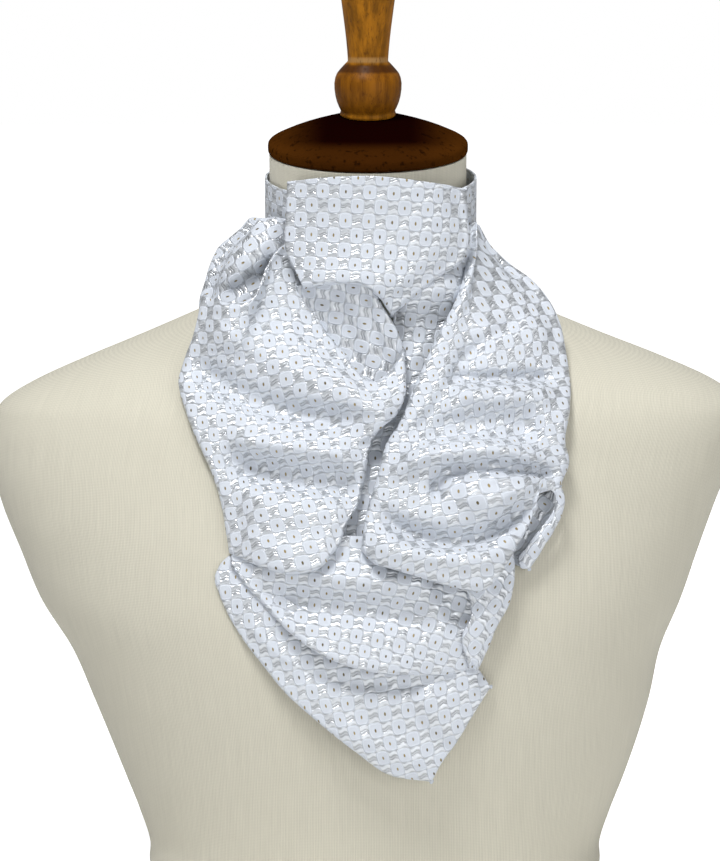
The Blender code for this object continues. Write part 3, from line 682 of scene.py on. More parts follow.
def roll_edge(grid, turn, at_start):
    """Roll the first or last row of a grid back through the angle of its turn."""
    ordered = grid if at_start else grid[::-1]
    radius = turn[0]
    inward = unit(ordered[2, :, :2] - ordered[0, :, :2])
    reach = max(TURN_LEAST_ROWS, int(len(ordered) * TURN_REACH))
    drawn = ordered.copy()
    for step in range(reach):
        drawn[step, :, :2] += inward * radius * (1.0 - ease(step / reach))
    extra = turn_rows(drawn[0], inward, turn)
    rows = np.concatenate((np.array(extra[::-1]), drawn))
    return rows if at_start else rows[::-1]


def lay_stretch(stretch, step, seed):
    """The grid of a stretch in the front view, as rows from top to bottom."""
    edges = {side: np.array(stretch[side], dtype=float) for side in ("top", "bottom", "left",
                                                                     "right")}
    reach = {side: np.linalg.norm(np.diff(rows[:, :2], axis=0), axis=1).sum()
             for side, rows in edges.items()}
    columns = max(LEAST_CELLS, round(max(reach["top"], reach["bottom"]) / step))
    rows = max(LEAST_CELLS, round(max(reach["left"], reach["right"]) / step))
    u = np.linspace(0.0, 1.0, columns + 1)
    v = np.linspace(0.0, 1.0, rows + 1)
    top, bottom = along(edges["top"], u), along(edges["bottom"], u)
    left, right = along(edges["left"], v), along(edges["right"], v)
    u = u[None, :, None]
    v = v[:, None, None]
    top_line = (1 - u[0]) * top[0] + u[0] * top[-1]
    bottom_line = (1 - u[0]) * bottom[0] + u[0] * bottom[-1]
    reach_down = np.array((SHAPE_FADE, SHAPE_FADE, stretch["fade"]))
    layout = (1 - u) * left[:, None] + u * right[:, None]
    above = (1 - v) ** reach_down
    below = v ** reach_down
    layout = layout + above * (top - top_line)[None] + below * (bottom - bottom_line)[None]
    layout[..., 2] += stretch["belly"] * np.sin(math.pi * u[..., 0]) * np.sin(math.pi * v[..., 0])
    rise = ripples(layout, stretch["ripple"], seed)
    for fold in stretch["folds"]:
        rise += fold_rise(layout, fold, FOLD_SHARPNESS)
    for crease in stretch["creases"]:
        rise += fold_rise(layout, crease, CREASE_SHARPNESS)
    layout[..., 2] += rise
    return layout


def roll_edges(layout, turns):
    """Roll every edge of a stretch that has a turn."""
    if "top" in turns:
        layout = roll_edge(layout, turns["top"], True)
    if "bottom" in turns:
        layout = roll_edge(layout, turns["bottom"], False)
    layout = layout.transpose(1, 0, 2)
    if "left" in turns:
        layout = roll_edge(layout, turns["left"], True)
    if "right" in turns:
        layout = roll_edge(layout, turns["right"], False)
    return layout.transpose(1, 0, 2)


def weave_direction(layout, rows):
    """The direction of the weave's rows at each point, as an angle in the front view."""
    total = np.zeros(layout.shape[:2] + (2,))
    for across, up, degrees in rows:
        distance = np.hypot(layout[..., 0] - across, layout[..., 1] - up) / WEAVE_REACH
        weight = 1.0 / (WEAVE_BLEND + distance ** 2) ** WEAVE_POWER
        angle = math.radians(degrees)
        total += weight[..., None] * np.array((math.cos(angle), math.sin(angle)))
    return np.arctan2(total[..., 1], total[..., 0])


def spread(across_steps, down_steps):
    """The height of each point of a grid whose steps are nearest to those given."""
    shape = (across_steps.shape[0], down_steps.shape[1])

    def gather(across_part, down_part):
        out = np.zeros(shape)
        out[:, 1:] += across_part
        out[:, :-1] -= across_part
        out[1:] += down_part
        out[:-1] -= down_part
        return out

    result = np.zeros(shape)
    result[:, 1:] = np.cumsum(across_steps, axis=1)
    result += np.concatenate(([0.0], np.cumsum(down_steps[:, 0])))[:, None]
    rest = gather(across_steps, down_steps) - gather(np.diff(result, axis=1), np.diff(result,
                                                                                      axis=0))
    search = rest.copy()
    size = (rest * rest).sum()
    for _ in range(WEAVE_ROUNDS):
        if size < LEAST_LENGTH:
            break
        moved = gather(np.diff(search, axis=1), np.diff(search, axis=0))
        pace = size / (search * moved).sum()
        result += pace * search
        rest -= pace * moved
        fresh = (rest * rest).sum()
        search = rest + fresh / size * search
        size = fresh
    return result


def weave_map(points, layout, stretch):
    """Where each point of a stretch lies on the flat cloth, from the direction of its weave."""
    along_rows = np.gradient(points, axis=1)
    down_columns = np.gradient(points, axis=0)
    turn = weave_direction(layout, stretch["weave"])
    wanted = np.stack((np.cos(turn), np.sin(turn)), axis=-1)
    side = np.gradient(layout[..., :2], axis=1)
    down = np.gradient(layout[..., :2], axis=0)
    spin = side[..., 0] * down[..., 1] - side[..., 1] * down[..., 0]
    spin = np.where(np.abs(spin) < LEAST_LENGTH, LEAST_LENGTH, spin)
    first = (wanted[..., 0] * down[..., 1] - wanted[..., 1] * down[..., 0]) / spin
    second = (side[..., 0] * wanted[..., 1] - side[..., 1] * wanted[..., 0]) / spin
    row_way = unit(first[..., None] * along_rows + second[..., None] * down_columns)
    facing = unit(np.cross(down_columns, along_rows))
    column_way = np.cross(facing, row_way)
    across_edges = np.diff(points, axis=1)
    down_edges = np.diff(points, axis=0)
    result = []
    for way in (row_way, column_way):
        across_steps = (across_edges * (way[:, 1:] + way[:, :-1]) / 2).sum(axis=-1)
        down_steps = (down_edges * (way[1:] + way[:-1]) / 2).sum(axis=-1)
        result.append(spread(across_steps, down_steps))
    return np.stack(result, axis=-1)


def pad_rolls(weave, points, turns):
    """Carry the flat cloth on into the rolled edges, by the distance along them."""
    top = TURN_STEPS if "top" in turns else 0
    left = TURN_STEPS if "left" in turns else 0
    rows, columns = points.shape[:2]
    inner_rows, inner_columns = weave.shape[:2]
    full = np.zeros((rows, columns, 2))
    full[top:top + inner_rows, left:left + inner_columns] = weave

    def carry(grid, place_grid, first, last):
        for step in range(first - 1, -1, -1):
            ahead = unit(grid[first] - grid[first + 1])
            gone = np.linalg.norm(place_grid[step] - place_grid[step + 1], axis=-1, keepdims=True)
            grid[step] = grid[step + 1] + ahead * gone
        for step in range(last + 1, len(grid)):
            ahead = unit(grid[last] - grid[last - 1])
            gone = np.linalg.norm(place_grid[step] - place_grid[step - 1], axis=-1, keepdims=True)
            grid[step] = grid[step - 1] + ahead * gone

    inner = full[:, left:left + inner_columns]
    carry(inner, points[:, left:left + inner_columns], top, top + inner_rows - 1)
    carry(full.transpose(1, 0, 2), points.transpose(1, 0, 2), left, left + inner_columns - 1)
    return full


def lay_cloth(stretch, step, seed):
    """The points of one layer with its rolled edges, and their places on the flat cloth."""
    laid = lay_stretch(stretch, step, seed)
    weave = weave_map(place(laid, stretch["over_chest"]), laid, stretch)
    nearest = np.argmin(np.hypot(laid[..., 0] - stretch["dot"][0], laid[...,
                                                                        1] - stretch["dot"][1]))
    weave -= weave.reshape(-1, 2)[nearest]
    points = place(roll_edges(laid, stretch["turn"]), stretch["over_chest"])
    return points, pad_rolls(weave, points, stretch["turn"]) * MM


# Meshes

def add_piece(name, points, faces, material, corners=None):
    """A mesh from points in millimetres, with the flat cloth's place at each corner."""
    mesh = bpy.data.meshes.new(name)
    mesh.from_pydata([tuple(point) for point in (np.asarray(points) * MM).tolist()], [], faces)
    mesh.materials.append(material)
    mesh.shade_smooth()
    if corners is not None:
        layer = mesh.uv_layers.new(name="weave")
        layer.data.foreach_set("uv", np.asarray(corners, dtype=np.float32).ravel())
    item = bpy.data.objects.new(name, mesh)
    bpy.context.scene.collection.objects.link(item)
    return item


def grid_faces(rows, columns):
    """The faces of a grid of points, looking forwards."""
    row = np.arange(rows - 1)[:, None] * columns
    here = row + np.arange(columns - 1)[None, :]
    return np.stack((here, here + columns, here + columns + 1, here + 1), axis=-1).reshape(-1, 4)


def dress(item, node):
    """A finished piece: it rides on the form and stands for its CAD node, which is hidden."""
    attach(item, "root")
    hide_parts(node)


# Materials

def calc(tree, operation, *values):
    """A Math node, whose values are numbers or outputs of other nodes."""
    node = tree.nodes.new("ShaderNodeMath")
    node.operation = operation
    for socket, value in zip(node.inputs, values):
        if isinstance(value, (int, float)):
            socket.default_value = value
        else:
            tree.links.new(value, socket)
    return node.outputs[0]


def step_up(tree, value, low, high):
    """0 below low and 1 above high, smooth between them."""
    node = tree.nodes.new("ShaderNodeMapRange")
    node.interpolation_type = "SMOOTHSTEP"
    tree.links.new(value, node.inputs["Value"])
    node.inputs["From Min"].default_value = low
    node.inputs["From Max"].default_value = high
    return node.outputs["Result"]


def step_over(tree, value, low, high, fall, end):
    """0 below low, 1 between high and fall, and 0 again above end."""
    down = calc(tree, "SUBTRACT", 1.0, step_up(tree, value, fall, end))
    return calc(tree, "MULTIPLY", step_up(tree, value, low, high), down)


def level(tree, share, low, high):
    """From low where the share is 0 to high where it is 1."""
    node = tree.nodes.new("ShaderNodeMapRange")
    tree.links.new(share, node.inputs["Value"])
    node.inputs["To Min"].default_value = low
    node.inputs["To Max"].default_value = high
    return node.outputs["Result"]


def mix_colour(tree, share, first, second, blend="MIX"):
    """Two colours mixed by a share. Each is a colour or the output of another node."""
    node = tree.nodes.new("ShaderNodeMix")
    node.data_type = "RGBA"
    node.blend_type = blend
    if isinstance(share, (int, float)):
        node.inputs["Factor"].default_value = share
    else:
        tree.links.new(share, node.inputs["Factor"])
    for socket, value in ((node.inputs[6], first), (node.inputs[7], second)):
        if isinstance(value, tuple):
            socket.default_value = value
        else:
            tree.links.new(value, socket)
    return node.outputs[2]


def noise(tree, vector, scale, detail=3.0, roughness=0.5):
    node = tree.nodes.new("ShaderNodeTexNoise")
    tree.links.new(vector, node.inputs["Vector"])
    node.inputs["Scale"].default_value = scale
    node.inputs["Detail"].default_value = detail
    node.inputs["Roughness"].default_value = roughness
    return node.outputs["Fac"]


def stretch_by(tree, vector, scale):
    """A vector made longer or shorter along each axis."""
    node = tree.nodes.new("ShaderNodeMapping")
    tree.links.new(vector, node.inputs["Vector"])
    node.inputs["Scale"].default_value = scale
    return node.outputs["Vector"]


def make_group(name, inputs, outputs):
    """A shader node group with named sockets. Returns its tree, its inputs and its end node."""
    tree = bpy.data.node_groups.new(name, "ShaderNodeTree")
    for label, kind, default in inputs:
        socket = tree.interface.new_socket(label, in_out="INPUT", socket_type=kind)
        if default is not None:
            socket.default_value = default
    for label in outputs:
        tree.interface.new_socket(label, in_out="OUTPUT", socket_type="NodeSocketFloat")
    start = tree.nodes.new("NodeGroupInput")
    end = tree.nodes.new("NodeGroupOutput")
    return tree, start.outputs, end.inputs


def thread_group():
    """Fine threads that cross: ribs along the cloth with thinner threads over them."""
    tree, given, end = make_group(
        "crossed_threads",
        (("Vector", "NodeSocketVector", None), ("Rib pitch", "NodeSocketFloat", 0.0011),
         ("Thread pitch", "NodeSocketFloat", 0.0007), ("Uneven", "NodeSocketFloat", 0.35)),
        ("Height",),
    )
    split = tree.nodes.new("ShaderNodeSeparateXYZ")
    tree.links.new(given["Vector"], split.inputs[0])
    wander = noise(tree, stretch_by(tree, given["Vector"], (420.0, 60.0, 420.0)), 1.0, 2.0)
    drift = calc(tree, "MULTIPLY", calc(tree, "SUBTRACT", wander, 0.5), given["Uneven"])
    rib_turn = calc(tree, "ADD", calc(tree, "DIVIDE", split.outputs[0], given["Rib pitch"]), drift)
    thread_turn = calc(tree, "DIVIDE", split.outputs[1], given["Thread pitch"])
    rib = calc(tree, "MULTIPLY_ADD", calc(tree, "SINE", calc(tree, "MULTIPLY", rib_turn,
                                                             math.tau)), 0.5, 0.5)
    thread = calc(tree, "MULTIPLY_ADD", calc(tree, "SINE", calc(tree, "MULTIPLY", thread_turn,
                                                                math.tau)), 0.5, 0.5)
    slub = noise(tree, stretch_by(tree, given["Vector"], (900.0, 30.0, 900.0)), 1.0, 2.0)
    height = calc(tree, "ADD", calc(tree, "MULTIPLY", rib, 0.55), calc(tree, "MULTIPLY", thread,
                                                                       0.2))
    height = calc(tree, "ADD", height, calc(tree, "MULTIPLY", slub, calc(tree, "MULTIPLY",
                                                                         given["Uneven"], 0.8)))
    tree.links.new(height, end["Height"])
    return tree


def jacquard_group():
    """The woven repeat: rounded squares with a dot, and satin float threads in the cells between
    them. The Float mask also places the painted sheen on the float threads and the painted shade
    between them.
    """
    tree, given, end = make_group(
        "jacquard_repeat",
        (("Vector", "NodeSocketVector", None), ("Cell width", "NodeSocketFloat", 0.00655),
         ("Cell height", "NodeSocketFloat", 0.0083), ("Square reach across", "NodeSocketFloat",
                                                      0.60),
         ("Square reach up", "NodeSocketFloat", 0.545), ("Roundness", "NodeSocketFloat", 3.8),
         ("Dot width", "NodeSocketFloat", 0.0005), ("Dot height", "NodeSocketFloat", 0.0010)),
        ("Square", "Ring", "Dot", "Float", "Relief"),
    )
    split = tree.nodes.new("ShaderNodeSeparateXYZ")
    tree.links.new(given["Vector"], split.inputs[0])
    cell_x = calc(tree, "DIVIDE", split.outputs[0], given["Cell width"])
    cell_y = calc(tree, "DIVIDE", split.outputs[1], given["Cell height"])
    column = calc(tree, "FLOOR", calc(tree, "ADD", cell_x, 0.5))
    row = calc(tree, "FLOOR", calc(tree, "ADD", cell_y, 0.5))
    x = calc(tree, "SUBTRACT", cell_x, column)
    y = calc(tree, "SUBTRACT", cell_y, row)
    between = calc(tree, "FLOORED_MODULO", calc(tree, "ADD", column, row), 2.0)
    beside = calc(tree, "SUBTRACT", 1.0, calc(tree, "ABSOLUTE", x))
    over = calc(tree, "SUBTRACT", 1.0, calc(tree, "ABSOLUTE", y))

    def square_size(across, up):
        wide = calc(tree, "POWER", calc(tree, "DIVIDE", calc(tree, "ABSOLUTE", across),
                                        given["Square reach across"]), given["Roundness"])
        high = calc(tree, "POWER", calc(tree, "DIVIDE", calc(tree, "ABSOLUTE", up),
                                        given["Square reach up"]), given["Roundness"])
        return calc(tree, "ADD", wide, high)

    own = square_size(x, y)
    near = calc(tree, "MINIMUM", square_size(beside, y), square_size(x, over))
    shape = calc(tree, "ADD", calc(tree, "MULTIPLY", own, calc(tree, "SUBTRACT", 1.0, between)),
                 calc(tree, "MULTIPLY", near, between))
    square = calc(tree, "SUBTRACT", 1.0, step_up(tree, shape, 0.86, 1.08))
    ring = step_over(tree, shape, 0.30, 0.42, 0.50, 0.66)
    pillow = calc(tree, "SUBTRACT", 1.0, step_up(tree, shape, 0.45, 1.1))
    dot_x = calc(tree, "DIVIDE", calc(tree, "MULTIPLY", x, given["Cell width"]), given["Dot width"])
    dot_y = calc(tree, "DIVIDE", calc(tree, "MULTIPLY", y, given["Cell height"]),
                 given["Dot height"])
    dot_size = calc(tree, "ADD", calc(tree, "MULTIPLY", dot_x, dot_x), calc(tree, "MULTIPLY",
                                                                            dot_y, dot_y))
    dot = calc(tree, "MULTIPLY", calc(tree, "SUBTRACT", 1.0, step_up(tree, dot_size, 0.5, 1.6)),
               calc(tree, "SUBTRACT", 1.0, between))
    wave = calc(tree, "MULTIPLY", calc(tree, "SINE", calc(tree, "MULTIPLY_ADD", x,
                                                          math.tau * 1.15, 0.5)), 0.065)
    from_middle = calc(tree, "ABSOLUTE", calc(tree, "SUBTRACT", y, wave))
    thin_float = calc(tree, "SUBTRACT", 1.0, step_up(tree, from_middle, 0.0, 0.08))
    wide_float = step_over(tree, from_middle, 0.07, 0.22, 0.34, 0.54)
    # This float mask also paints the satin: full colour on the float threads as a painted sheen,
    # painted shade in the grooves and along the squares' edges
    floats_sheen_and_shade = calc(tree, "MAXIMUM", calc(tree, "MULTIPLY", thin_float, 0.45), wide_float)
    satin = calc(tree, "SUBTRACT", 1.0, square)
    relief = calc(tree, "ADD", calc(tree, "MULTIPLY", square, calc(tree, "MULTIPLY_ADD", pillow,
                                                                   0.55, 0.45)),
                  calc(tree, "MULTIPLY", calc(tree, "MULTIPLY", floats_sheen_and_shade, satin), 0.85))
    relief = calc(tree, "ADD", relief, calc(tree, "MULTIPLY", ring, 0.14))
    relief = calc(tree, "SUBTRACT", relief, calc(tree, "MULTIPLY", dot, 0.25))
    for label, value in (("Square", square), ("Ring", ring), ("Dot", dot), ("Float", floats_sheen_and_shade),
                         ("Relief", relief)):
        tree.links.new(value, end[label])
    return tree


def grain_group():
    """Wood grain that runs up the piece: long streaks and fine dark pores."""
    tree, given, end = make_group(
        "wood_grain",
        (("Vector", "NodeSocketVector", None), ("Along", "NodeSocketFloat", 9.0),
         ("Across", "NodeSocketFloat", 170.0)),
        ("Streaks", "Pores", "Height"),
    )
    split = tree.nodes.new("ShaderNodeSeparateXYZ")
    tree.links.new(given["Vector"], split.inputs[0])
    joined = tree.nodes.new("ShaderNodeCombineXYZ")
    for index, size in enumerate(("Across", "Across", "Along")):
        tree.links.new(calc(tree, "MULTIPLY", split.outputs[index], given[size]),
                       joined.inputs[index])
    streaks = noise(tree, joined.outputs[0], 1.0, 5.0, 0.6)
    fine = noise(tree, joined.outputs[0], 4.5, 3.0, 0.6)
    pores = step_up(tree, fine, 0.54, 0.70)
    height = calc(tree, "SUBTRACT", calc(tree, "MULTIPLY", streaks, 0.4), calc(tree, "MULTIPLY",
                                                                               pores, 0.5))
    tree.links.new(streaks, end["Streaks"])
    tree.links.new(pores, end["Pores"])
    tree.links.new(height, end["Height"])
    return tree


GROUPS = {}


def shared_group(name, maker):
    """A shared effect, built the first time that a material asks for it."""
    if name not in GROUPS:
        GROUPS[name] = maker()
    return GROUPS[name]


def place_group(tree, group, vector, **values):
    """A shared effect in a material, with this material's own values."""
    node = tree.nodes.new("ShaderNodeGroup")
    node.node_tree = group
    tree.links.new(vector, node.inputs["Vector"])
    for label, value in values.items():
        node.inputs[label.replace("_", " ")].default_value = value
    return node.outputs


def new_material(name, roughness=0.5, sheen=0.0, specular=0.5):
    """A material with its constants on its own shader. Returns it, its tree and the shader."""
    material = bpy.data.materials.new(name)
    material.use_nodes = True
    tree = material.node_tree
    surface = tree.nodes["Principled BSDF"]
    surface.inputs["Roughness"].default_value = roughness
    surface.inputs["Metallic"].default_value = 0.0
    surface.inputs["Specular IOR Level"].default_value = specular
    surface.inputs["Sheen Weight"].default_value = sheen
    surface.inputs["Sheen Roughness"].default_value = 0.4
    return material, tree, surface


def add_bump(tree, surface, height, distance, strength):
    bump = tree.nodes.new("ShaderNodeBump")
    bump.inputs["Distance"].default_value = distance
    bump.inputs["Strength"].default_value = strength
    tree.links.new(height, bump.inputs["Height"])
    tree.links.new(bump.outputs["Normal"], surface.inputs["Normal"])


def shade(colour, factor):
    return tuple(min(1.0, part * factor) for part in colour) + (1.0,)


def linen_material(settings):
    """Cream linen with a fine upright rib."""
    material, tree, surface = new_material("linen_cover", roughness=0.88, sheen=0.12, specular=0.2)
    flat = tree.nodes.new("ShaderNodeUVMap")
    flat.uv_map = "weave"
    threads = place_group(tree, shared_group("threads", thread_group), flat.outputs[0],
                          Rib_pitch=settings.rib_pitch, Thread_pitch=0.0009, Uneven=0.5)
    colour = tuple(settings.linen)
    ribbed = mix_colour(tree, level(tree, threads["Height"], 0.0, 1.0), shade(colour, 0.74),
                        shade(colour, 1.18))
    cloudy = noise(tree, flat.outputs[0], 14.0, 3.0)
    tinted = mix_colour(tree, level(tree, cloudy, 0.0, 0.3), ribbed, LINEN_CLOUD)
    tree.links.new(tinted, surface.inputs["Base Color"])
    add_bump(tree, surface, threads["Height"], 0.00018, 0.8)
    return material


def jacquard_material(settings):
    """White jacquard: matte squares with a metallic dot, between satin float threads, with painted
    sheen on the float threads and painted shade in their grooves and along the squares' edges.
    """
    material, tree, surface = new_material("white_jacquard", sheen=0.05, specular=0.35)
    flat = tree.nodes.new("ShaderNodeUVMap")
    flat.uv_map = "weave"
    repeat = place_group(tree, shared_group("jacquard", jacquard_group), flat.outputs[0],
                         Cell_width=settings.cell_width, Cell_height=settings.cell_height)
    threads = place_group(tree, shared_group("threads", thread_group), flat.outputs[0],
                          Rib_pitch=0.0004, Thread_pitch=0.0004, Uneven=0.2)
    square = tuple(settings.square)
    satin = tuple(settings.satin)
    woven = mix_colour(tree, repeat["Ring"], shade(square, 0.98), shade(square, 1.10))
    # Painted sheen and shade: full satin colour on the float threads, two thirds of it in the
    # grooves between them and along the squares' edges
    floats_sheen_and_shade = mix_colour(tree, repeat["Float"], shade(satin, 0.66), shade(satin, 1.0))
    cloth = mix_colour(tree, repeat["Square"], floats_sheen_and_shade, woven)
    uneven = step_up(tree, noise(tree, flat.outputs[0], 95.0, 1.0), 0.38, 0.62)
    gold = mix_colour(tree, uneven, shade(tuple(settings.dot), 0.35), shade(tuple(settings.dot),
                                                                            1.0))
    dotted = mix_colour(tree, repeat["Dot"], cloth, gold)
    tree.links.new(dotted, surface.inputs["Base Color"])
    tree.links.new(level(tree, repeat["Square"], 0.33, 0.75), surface.inputs["Roughness"])
    tree.links.new(level(tree, repeat["Square"], 0.62, 0.0), surface.inputs["Metallic"])
    height = calc(tree, "ADD", repeat["Relief"], calc(tree, "MULTIPLY", threads["Height"], 0.08))
    add_bump(tree, surface, height, 0.0006, 0.9)
    return material


def grain_at(tree, along, across):
    """The grain at each place of a wooden piece, and that place along each axis."""
    where = tree.nodes.new("ShaderNodeTexCoord").outputs["Object"]
    grain = place_group(tree, shared_group("grain", grain_group), where,
                        Along=along, Across=across)
    split = tree.nodes.new("ShaderNodeSeparateXYZ")
    tree.links.new(where, split.inputs[0])
    return grain, split.outputs


def cap_material(settings):
    """Dark mahogany stain, with painted light: lighter brown towards the left and right sides and
    the rim, where the lamps catch the cap, broken by the grain.
    """
    material, tree, surface = new_material("dark_mahogany", roughness=0.32, specular=0.0)
    grain, place_out = grain_at(tree, 60.0, 60.0)
    # Painted light: the cap is made lighter brown towards its left and right sides, broken up by
    # the grain streaks
    off_axis = calc(tree, "ABSOLUTE", place_out[0])
    painted_lit_sides = step_up(tree, off_axis, 0.022, 0.058)
    painted_lit_sides = calc(tree, "MULTIPLY", painted_lit_sides, level(tree, grain["Streaks"], 0.35, 1.2))
    # Painted highlight: a band round the rim is pushed further towards the lighter brown
    low = step_up(tree, place_out[2], *CAP_RIM_LOW)
    colour = mix_colour(tree, painted_lit_sides, shade(tuple(settings.cap), 1.0),
                        shade(tuple(settings.cap_painted_light), 1.0))
    colour = mix_colour(tree, calc(tree, "MULTIPLY", low, 0.45), colour,
                        shade(tuple(settings.cap_painted_light), 1.1))
    colour = mix_colour(tree, calc(tree, "MULTIPLY", grain["Pores"], 0.7), colour, CAP_PORE)
    tree.links.new(colour, surface.inputs["Base Color"])
    tree.links.new(level(tree, grain["Streaks"], 0.28, 0.46), surface.inputs["Roughness"])
    add_bump(tree, surface, grain["Height"], 0.0002, 0.5)
    return material


def finial_material(settings):
    """Honey-brown turned wood with upright grain and rubbed, darker and paler rings."""
    material, tree, surface = new_material("honey_wood", roughness=0.38, specular=0.08)
    grain, place_out = grain_at(tree, 7.0, 260.0)
    height = place_out[2]
    colour = tuple(settings.finial)
    streaked = mix_colour(tree, step_up(tree, grain["Streaks"], 0.32, 0.68), shade(colour, 0.55),
                          shade(colour, 1.25))
    ball = step_over(tree, height, *BALL)
    darker = mix_colour(tree, calc(tree, "MULTIPLY", ball, 0.5), streaked, shade(BALL_STAIN, 1.0))
    ring_dark = step_over(tree, height, *DARK_RING)
    darker = mix_colour(tree, calc(tree, "MULTIPLY", ring_dark, 0.75), darker, RING_STAIN)
    ring_worn = step_over(tree, height, *WORN_RING)
    darker = mix_colour(tree, calc(tree, "MULTIPLY", ring_worn, 0.6), darker, RING_WORN)
    darker = mix_colour(tree, calc(tree, "MULTIPLY", grain["Pores"], 0.6), darker, FINIAL_PORE)
    tree.links.new(darker, surface.inputs["Base Color"])
    tree.links.new(level(tree, grain["Streaks"], 0.32, 0.5), surface.inputs["Roughness"])
    add_bump(tree, surface, grain["Height"], 0.00025, 0.5)
    return material


def stage_material(settings):
    material, tree, surface = new_material("pale_floor", roughness=1.0, specular=0.0)
    surface.inputs["Base Color"].default_value = tuple(settings.floor) + (1.0,)
    surface.inputs["Emission Color"].default_value = WHITE
    seen = tree.nodes.new("ShaderNodeLightPath")
    glow = calc(tree, "MULTIPLY", seen.outputs["Is Camera Ray"], FLOOR_GLOW)
    tree.links.new(glow, surface.inputs["Emission Strength"])
    return material


# Operators

class CRAVAT_OT_form(bpy.types.Operator):
    """Cover the torso and neck of the dress form in linen"""
    bl_idname = "cravat.form"
    bl_label = "Dress form"

    def execute(self, context):
        angles = -math.pi / 2 - math.tau * np.arange(FORM_SIDES + 1) / FORM_SIDES
        rings = np.array([form_ring(section, angles) for section in SECTIONS])
        around = np.linalg.norm(np.diff(rings, axis=1), axis=-1)
        around = np.concatenate((np.zeros((FORM_ROWS, 1)), np.cumsum(around, axis=1)), axis=1)
        around -= around[:, FORM_SIDES // 2][:, None]
        rise = np.linalg.norm(np.diff(rings[:, FORM_SIDES // 2], axis=0), axis=-1)
        rise = np.concatenate(([0.0], np.cumsum(rise)))
        flat = np.stack((around, np.repeat(rise[:, None], FORM_SIDES + 1, axis=1)), axis=-1) * MM
        points = rings[:, :-1].reshape(-1, 3)
        row = np.arange(FORM_ROWS - 1)[:, None]
        step = np.arange(FORM_SIDES)[None, :]
        here = row * FORM_SIDES + step
        beside = row * FORM_SIDES + (step + 1) % FORM_SIDES
        faces = np.stack((here, beside, beside + FORM_SIDES, here + FORM_SIDES),
                         axis=-1).reshape(-1, 4)
        corner_rows = np.stack((row + 0 * step, row + 0 * step, row + 1 + 0 * step,
                                row + 1 + 0 * step), axis=-1)
        corner_columns = np.stack((step + 0 * row, step + 1 + 0 * row, step + 1 + 0 * row,
                                   step + 0 * row), axis=-1)
        corners = flat[corner_rows, corner_columns].reshape(-1, 2)
        last = (FORM_ROWS - 1) * FORM_SIDES
        ends = (tuple(reversed(range(FORM_SIDES))), tuple(range(last, last + FORM_SIDES)))
        end_corners = np.concatenate([points[list(end)][:, :2] * MM for end in ends])
        item = add_piece("linen_torso", points, faces.tolist() + list(ends),
                         linen_material(context.scene.cravat_form),
                         np.concatenate((corners, end_corners)))
        item.data.set_sharp_from_angle(angle=RIM_ANGLE)
        dress(item, "form_torso")
        return {"FINISHED"}


def turned_piece(name, profile, rise, sides, material):
    """A turned piece on the neck's axis, its foot at a given rise above the neck."""
    profile = np.array(profile)
    inner = profile[1:-1]
    angles = math.tau * np.arange(sides) / sides
    rings = np.stack((inner[:, None, 0] * np.cos(angles), inner[:, None, 0] * np.sin(angles),
                      inner[:, None, 1] + 0.0 * angles), axis=-1).reshape(-1, 3)
    points = np.concatenate(([(0.0, 0.0, profile[0, 1])], rings, [(0.0, 0.0, profile[-1, 1])]))
    points = onto_neck(points, rise)
    faces = []
    foot = len(points) - 1
    last = 1 + (len(inner) - 1) * sides
    for step in range(sides):
        beside = (step + 1) % sides
        faces.append((0, 1 + step, 1 + beside))
        faces.append((foot, last + beside, last + step))
        for row in range(len(inner) - 1):
            here = 1 + row * sides
            faces.append((here + step, here + sides + step, here + sides + beside, here + beside))
    item = add_piece(name, points, faces, material)
    item.data.set_sharp_from_angle(angle=RIM_ANGLE)
    return item


class CRAVAT_OT_wood(bpy.types.Operator):
    """Turn the neck cap and the finial and stain them"""
    bl_idname = "cravat.wood"
    bl_label = "Neck cap and finial"

    def execute(self, context):
        settings = context.scene.cravat_wood
        cap = turned_piece("mahogany_cap", CAP_PROFILE, GAP, settings.turned_sides,
                           cap_material(settings))
        dress(cap, "neck_cap")
        finial = turned_piece("turned_finial", FINIAL_PROFILE, CAP_PROFILE[0][1] + 2 * GAP,
                              settings.turned_sides, finial_material(settings))
        dress(finial, "finial")
        return {"FINISHED"}


def cloth_material(context):
    """The jacquard, made once for all the cloth."""
    name = "white_jacquard"
    if name in bpy.data.materials:
        return bpy.data.materials[name]
    return jacquard_material(context.scene.cravat_cloth)


